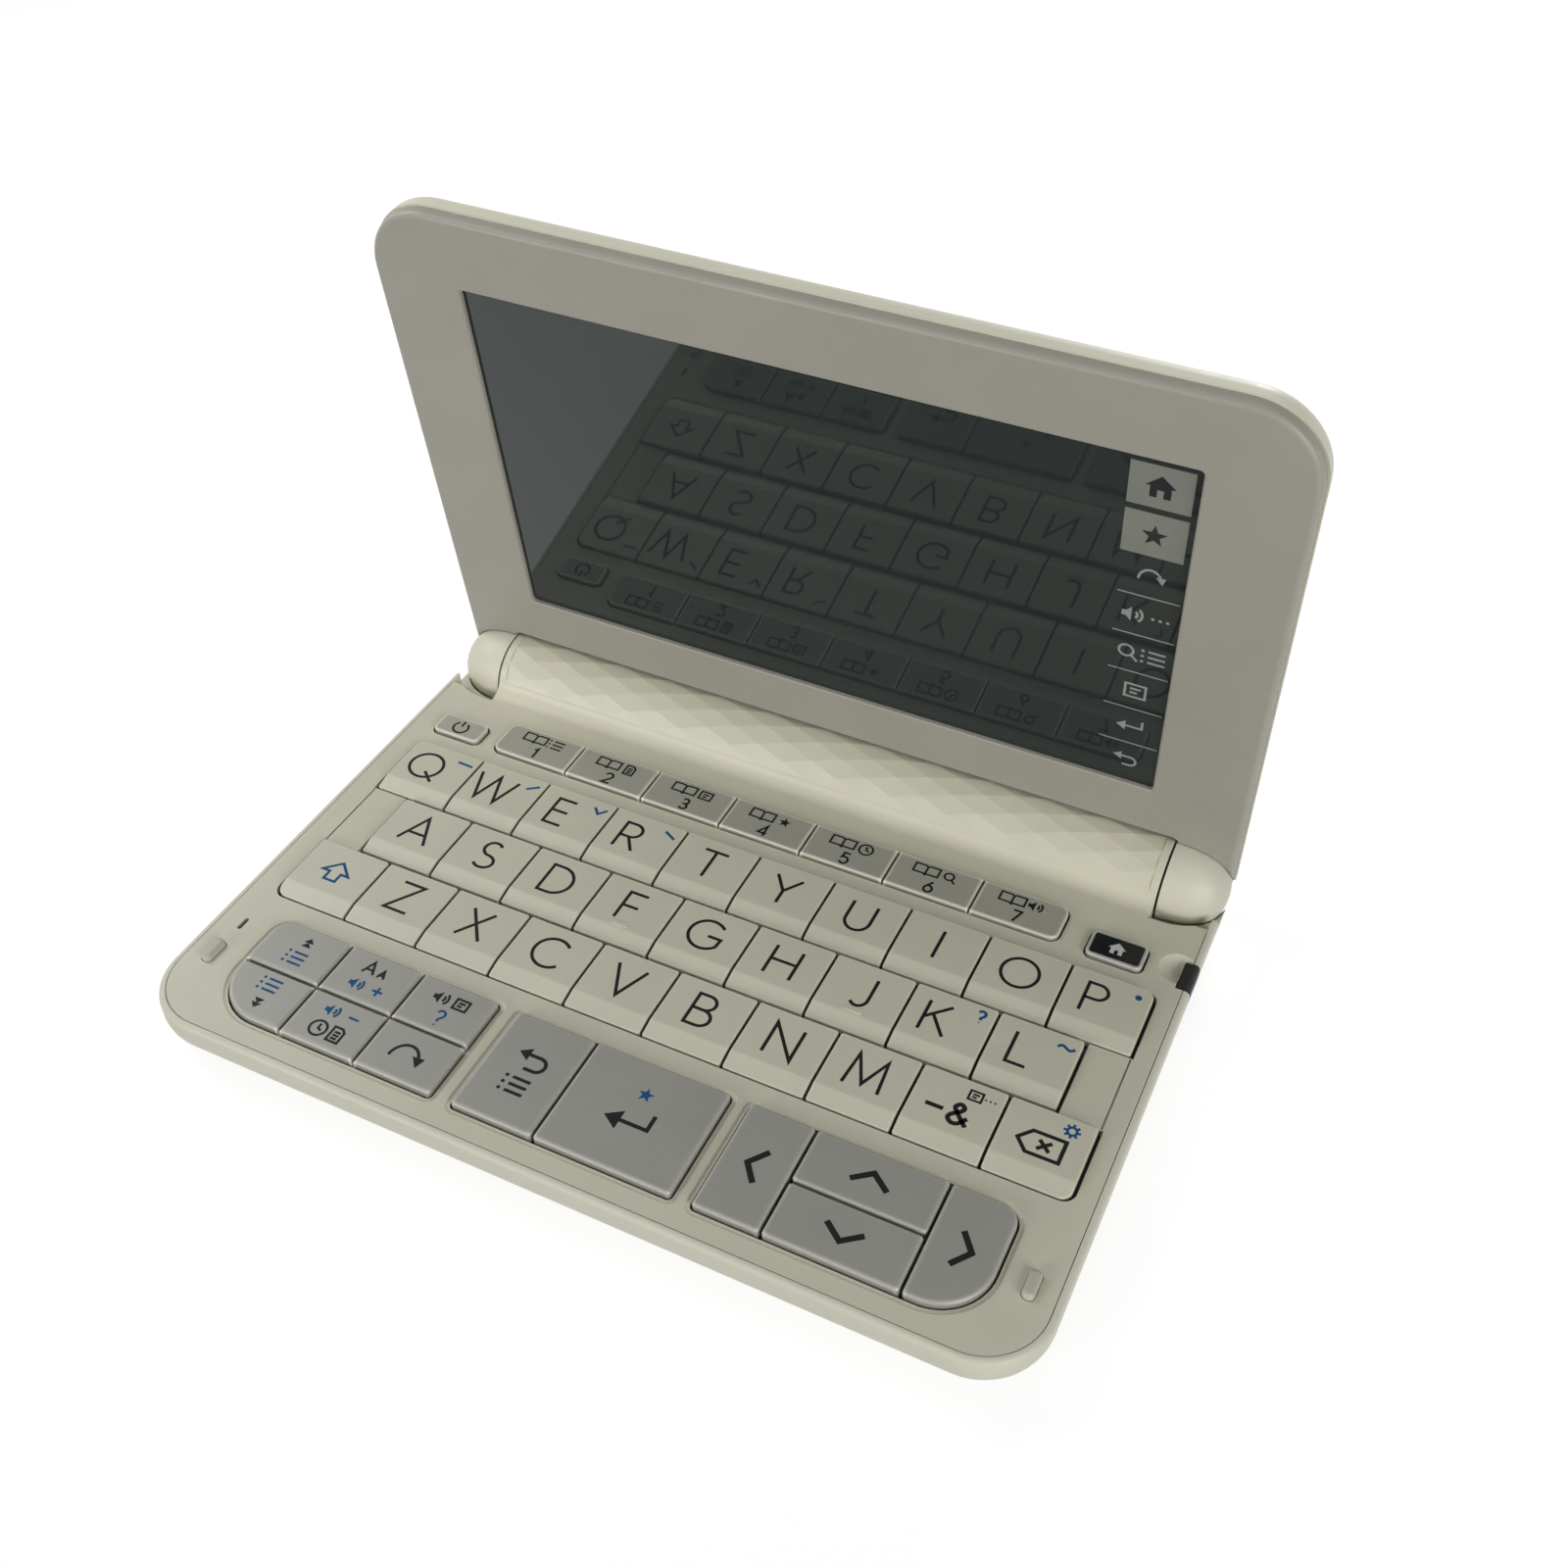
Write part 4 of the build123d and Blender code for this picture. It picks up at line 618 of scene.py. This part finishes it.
# ---- touch strip on the glass ----
hinge = Vector(next(j for j in frame["joints"] if j["name"] == "lid_hinge")["pos_m"])
LEAN = radians(81.5)  # how far the lid stands open in the photograph, measured from closed
UP_LID = Vector((0, -cos(LEAN), sin(LEAN)))
GLASS_DEPTH = 2.35  # from the hinge line to the face of the glass
glass_origin = hinge - RIGHT.cross(UP_LID) * GLASS_DEPTH * MM


def box_points(x0, x1, y0, y1):
    return [(x0, y0), (x1, y0), (x1, y1), (x0, y1)]


strip_left, strip_right = 48.4, 57.8
strip_x = (strip_left + strip_right) / 2
printed("touch_cells", "lid", [
    (lit_cell, 0.1, [fill(box_points(48.1, 57.3, 66.75, 74.55)), fill(box_points(48.1, 57.3, 75.6, 83.0))]),
    (cell_line, 0.22, [line((strip_left, y), (strip_right, y)) for y in (58.9, 50.95, 43.1, 35.1, 27.2)]),
], glass_origin, RIGHT, UP_LID, 0.01, 0.01)
printed("touch_icons", "lid", [
    (cell_ink, 0.45, put(ICON_HOME, strip_x - 0.4, 79.3, 1.9) + put(ICON_STAR, strip_x - 0.4, 70.6, 2.0)),
    (cell_line, 0.4, put(ICON_JUMP, strip_x, 63.3, 1.5) + put(ICON_SPEAKER, strip_x - 1.7, 54.9, 1.5)
     + put(ICON_DOTS, strip_x + 2.2, 54.9, 1.4) + put(ICON_SEARCH, strip_x - 1.9, 47.0, 1.6)
     + put(ICON_LIST, strip_x + 2.0, 47.0, 1.4) + put(ICON_NOTE, strip_x, 39.1, 1.7)
     + put(ICON_RETURN, strip_x, 31.1, 1.7) + put(ICON_BACK, strip_x, 22.9, 1.6)),
], glass_origin, RIGHT, UP_LID, 0.03, 0.01)


# ---- floor, world, lamps, camera ----
def light_path_mix(tree, near, far):
    """far for camera, glossy and transmission rays, near for all others."""
    rays = tree.nodes.new("ShaderNodeLightPath")
    total = rays.outputs["Is Camera Ray"]
    for output in ("Is Glossy Ray", "Is Transmission Ray"):
        add = tree.nodes.new("ShaderNodeMath")
        add.operation = "MAXIMUM"
        tree.links.new(total, add.inputs[0])
        tree.links.new(rays.outputs[output], add.inputs[1])
        total = add.outputs[0]
    mix = tree.nodes.new("ShaderNodeMixShader")
    tree.links.new(total, mix.inputs[0])
    tree.links.new(near, mix.inputs[1])
    tree.links.new(far, mix.inputs[2])
    return mix.outputs[0]


bpy.ops.mesh.primitive_plane_add(size=6.0, location=(0, 0, 0))
floor = bpy.context.object
floor.name = "floor"
floor_mat = bpy.data.materials.new("pale_floor")
floor_mat.use_nodes = True
tree = floor_mat.node_tree
tree.nodes.clear()
plain = tree.nodes.new("ShaderNodeBsdfDiffuse")
plain.inputs["Color"].default_value = (0.36, 0.36, 0.355, 1)
dim = tree.nodes.new("ShaderNodeBsdfDiffuse")
dim.inputs["Color"].default_value = (0.30, 0.30, 0.30, 1)
glow = tree.nodes.new("ShaderNodeEmission")
glow.inputs["Strength"].default_value = 0.82
both = tree.nodes.new("ShaderNodeAddShader")
out = tree.nodes.new("ShaderNodeOutputMaterial")
tree.links.new(dim.outputs[0], both.inputs[0])
tree.links.new(glow.outputs[0], both.inputs[1])
tree.links.new(light_path_mix(tree, plain.outputs[0], both.outputs[0]), out.inputs["Surface"])
floor.data.materials.append(floor_mat)

world = bpy.data.worlds.new("studio")
bpy.context.scene.world = world
world.use_nodes = True
tree = world.node_tree
tree.nodes.clear()
ambient = tree.nodes.new("ShaderNodeBackground")
ambient.inputs["Color"].default_value = (1.0, 1.0, 1.0, 1)
ambient.inputs["Strength"].default_value = 0.14
white = tree.nodes.new("ShaderNodeBackground")
white.inputs["Strength"].default_value = 1.0
out = tree.nodes.new("ShaderNodeOutputWorld")
tree.links.new(light_path_mix(tree, ambient.outputs[0], white.outputs[0]), out.inputs["Surface"])


def area_lamp(name, place, target, size, watts):
    data = bpy.data.lights.new(name, "AREA")
    data.shape = "DISK"
    data.size = size
    data.energy = watts
    lamp = bpy.data.objects.new(name, data)
    lamp.location = place
    lamp.rotation_euler = (Vector(target) - Vector(place)).to_track_quat("-Z", "Y").to_euler()
    bpy.context.scene.collection.objects.link(lamp)


area_lamp("overhead_softbox", (-0.35, 0.05, 0.29), (0, 0, 0.02), 0.26, 0.74)
area_lamp("low_front_light", (-0.64, -1.20, 0.27), (0, 0, 0.02), 0.5, 6.7)
area_lamp("side_light", (0.82, -0.46, 0.36), (0, 0, 0.02), 0.6, 5.5)
area_lamp("back_light", (0.0, 1.30, 0.60), (0, 0, 0.03), 0.3, 9.0)

camera_data = bpy.data.cameras.new("camera")
camera_data.sensor_width = 36.0
camera_data.lens = 39.577
camera_data.clip_start = 0.005
camera = bpy.data.objects.new("camera", camera_data)
camera.location = (0.09206, -0.16628, 0.21476)
camera.rotation_euler = Euler([radians(a) for a in (47.5001, -0.3221, 25.6169)], "XYZ")
bpy.context.scene.collection.objects.link(camera)
bpy.context.scene.camera = camera
bpy.context.scene.view_settings.view_transform = "Standard"
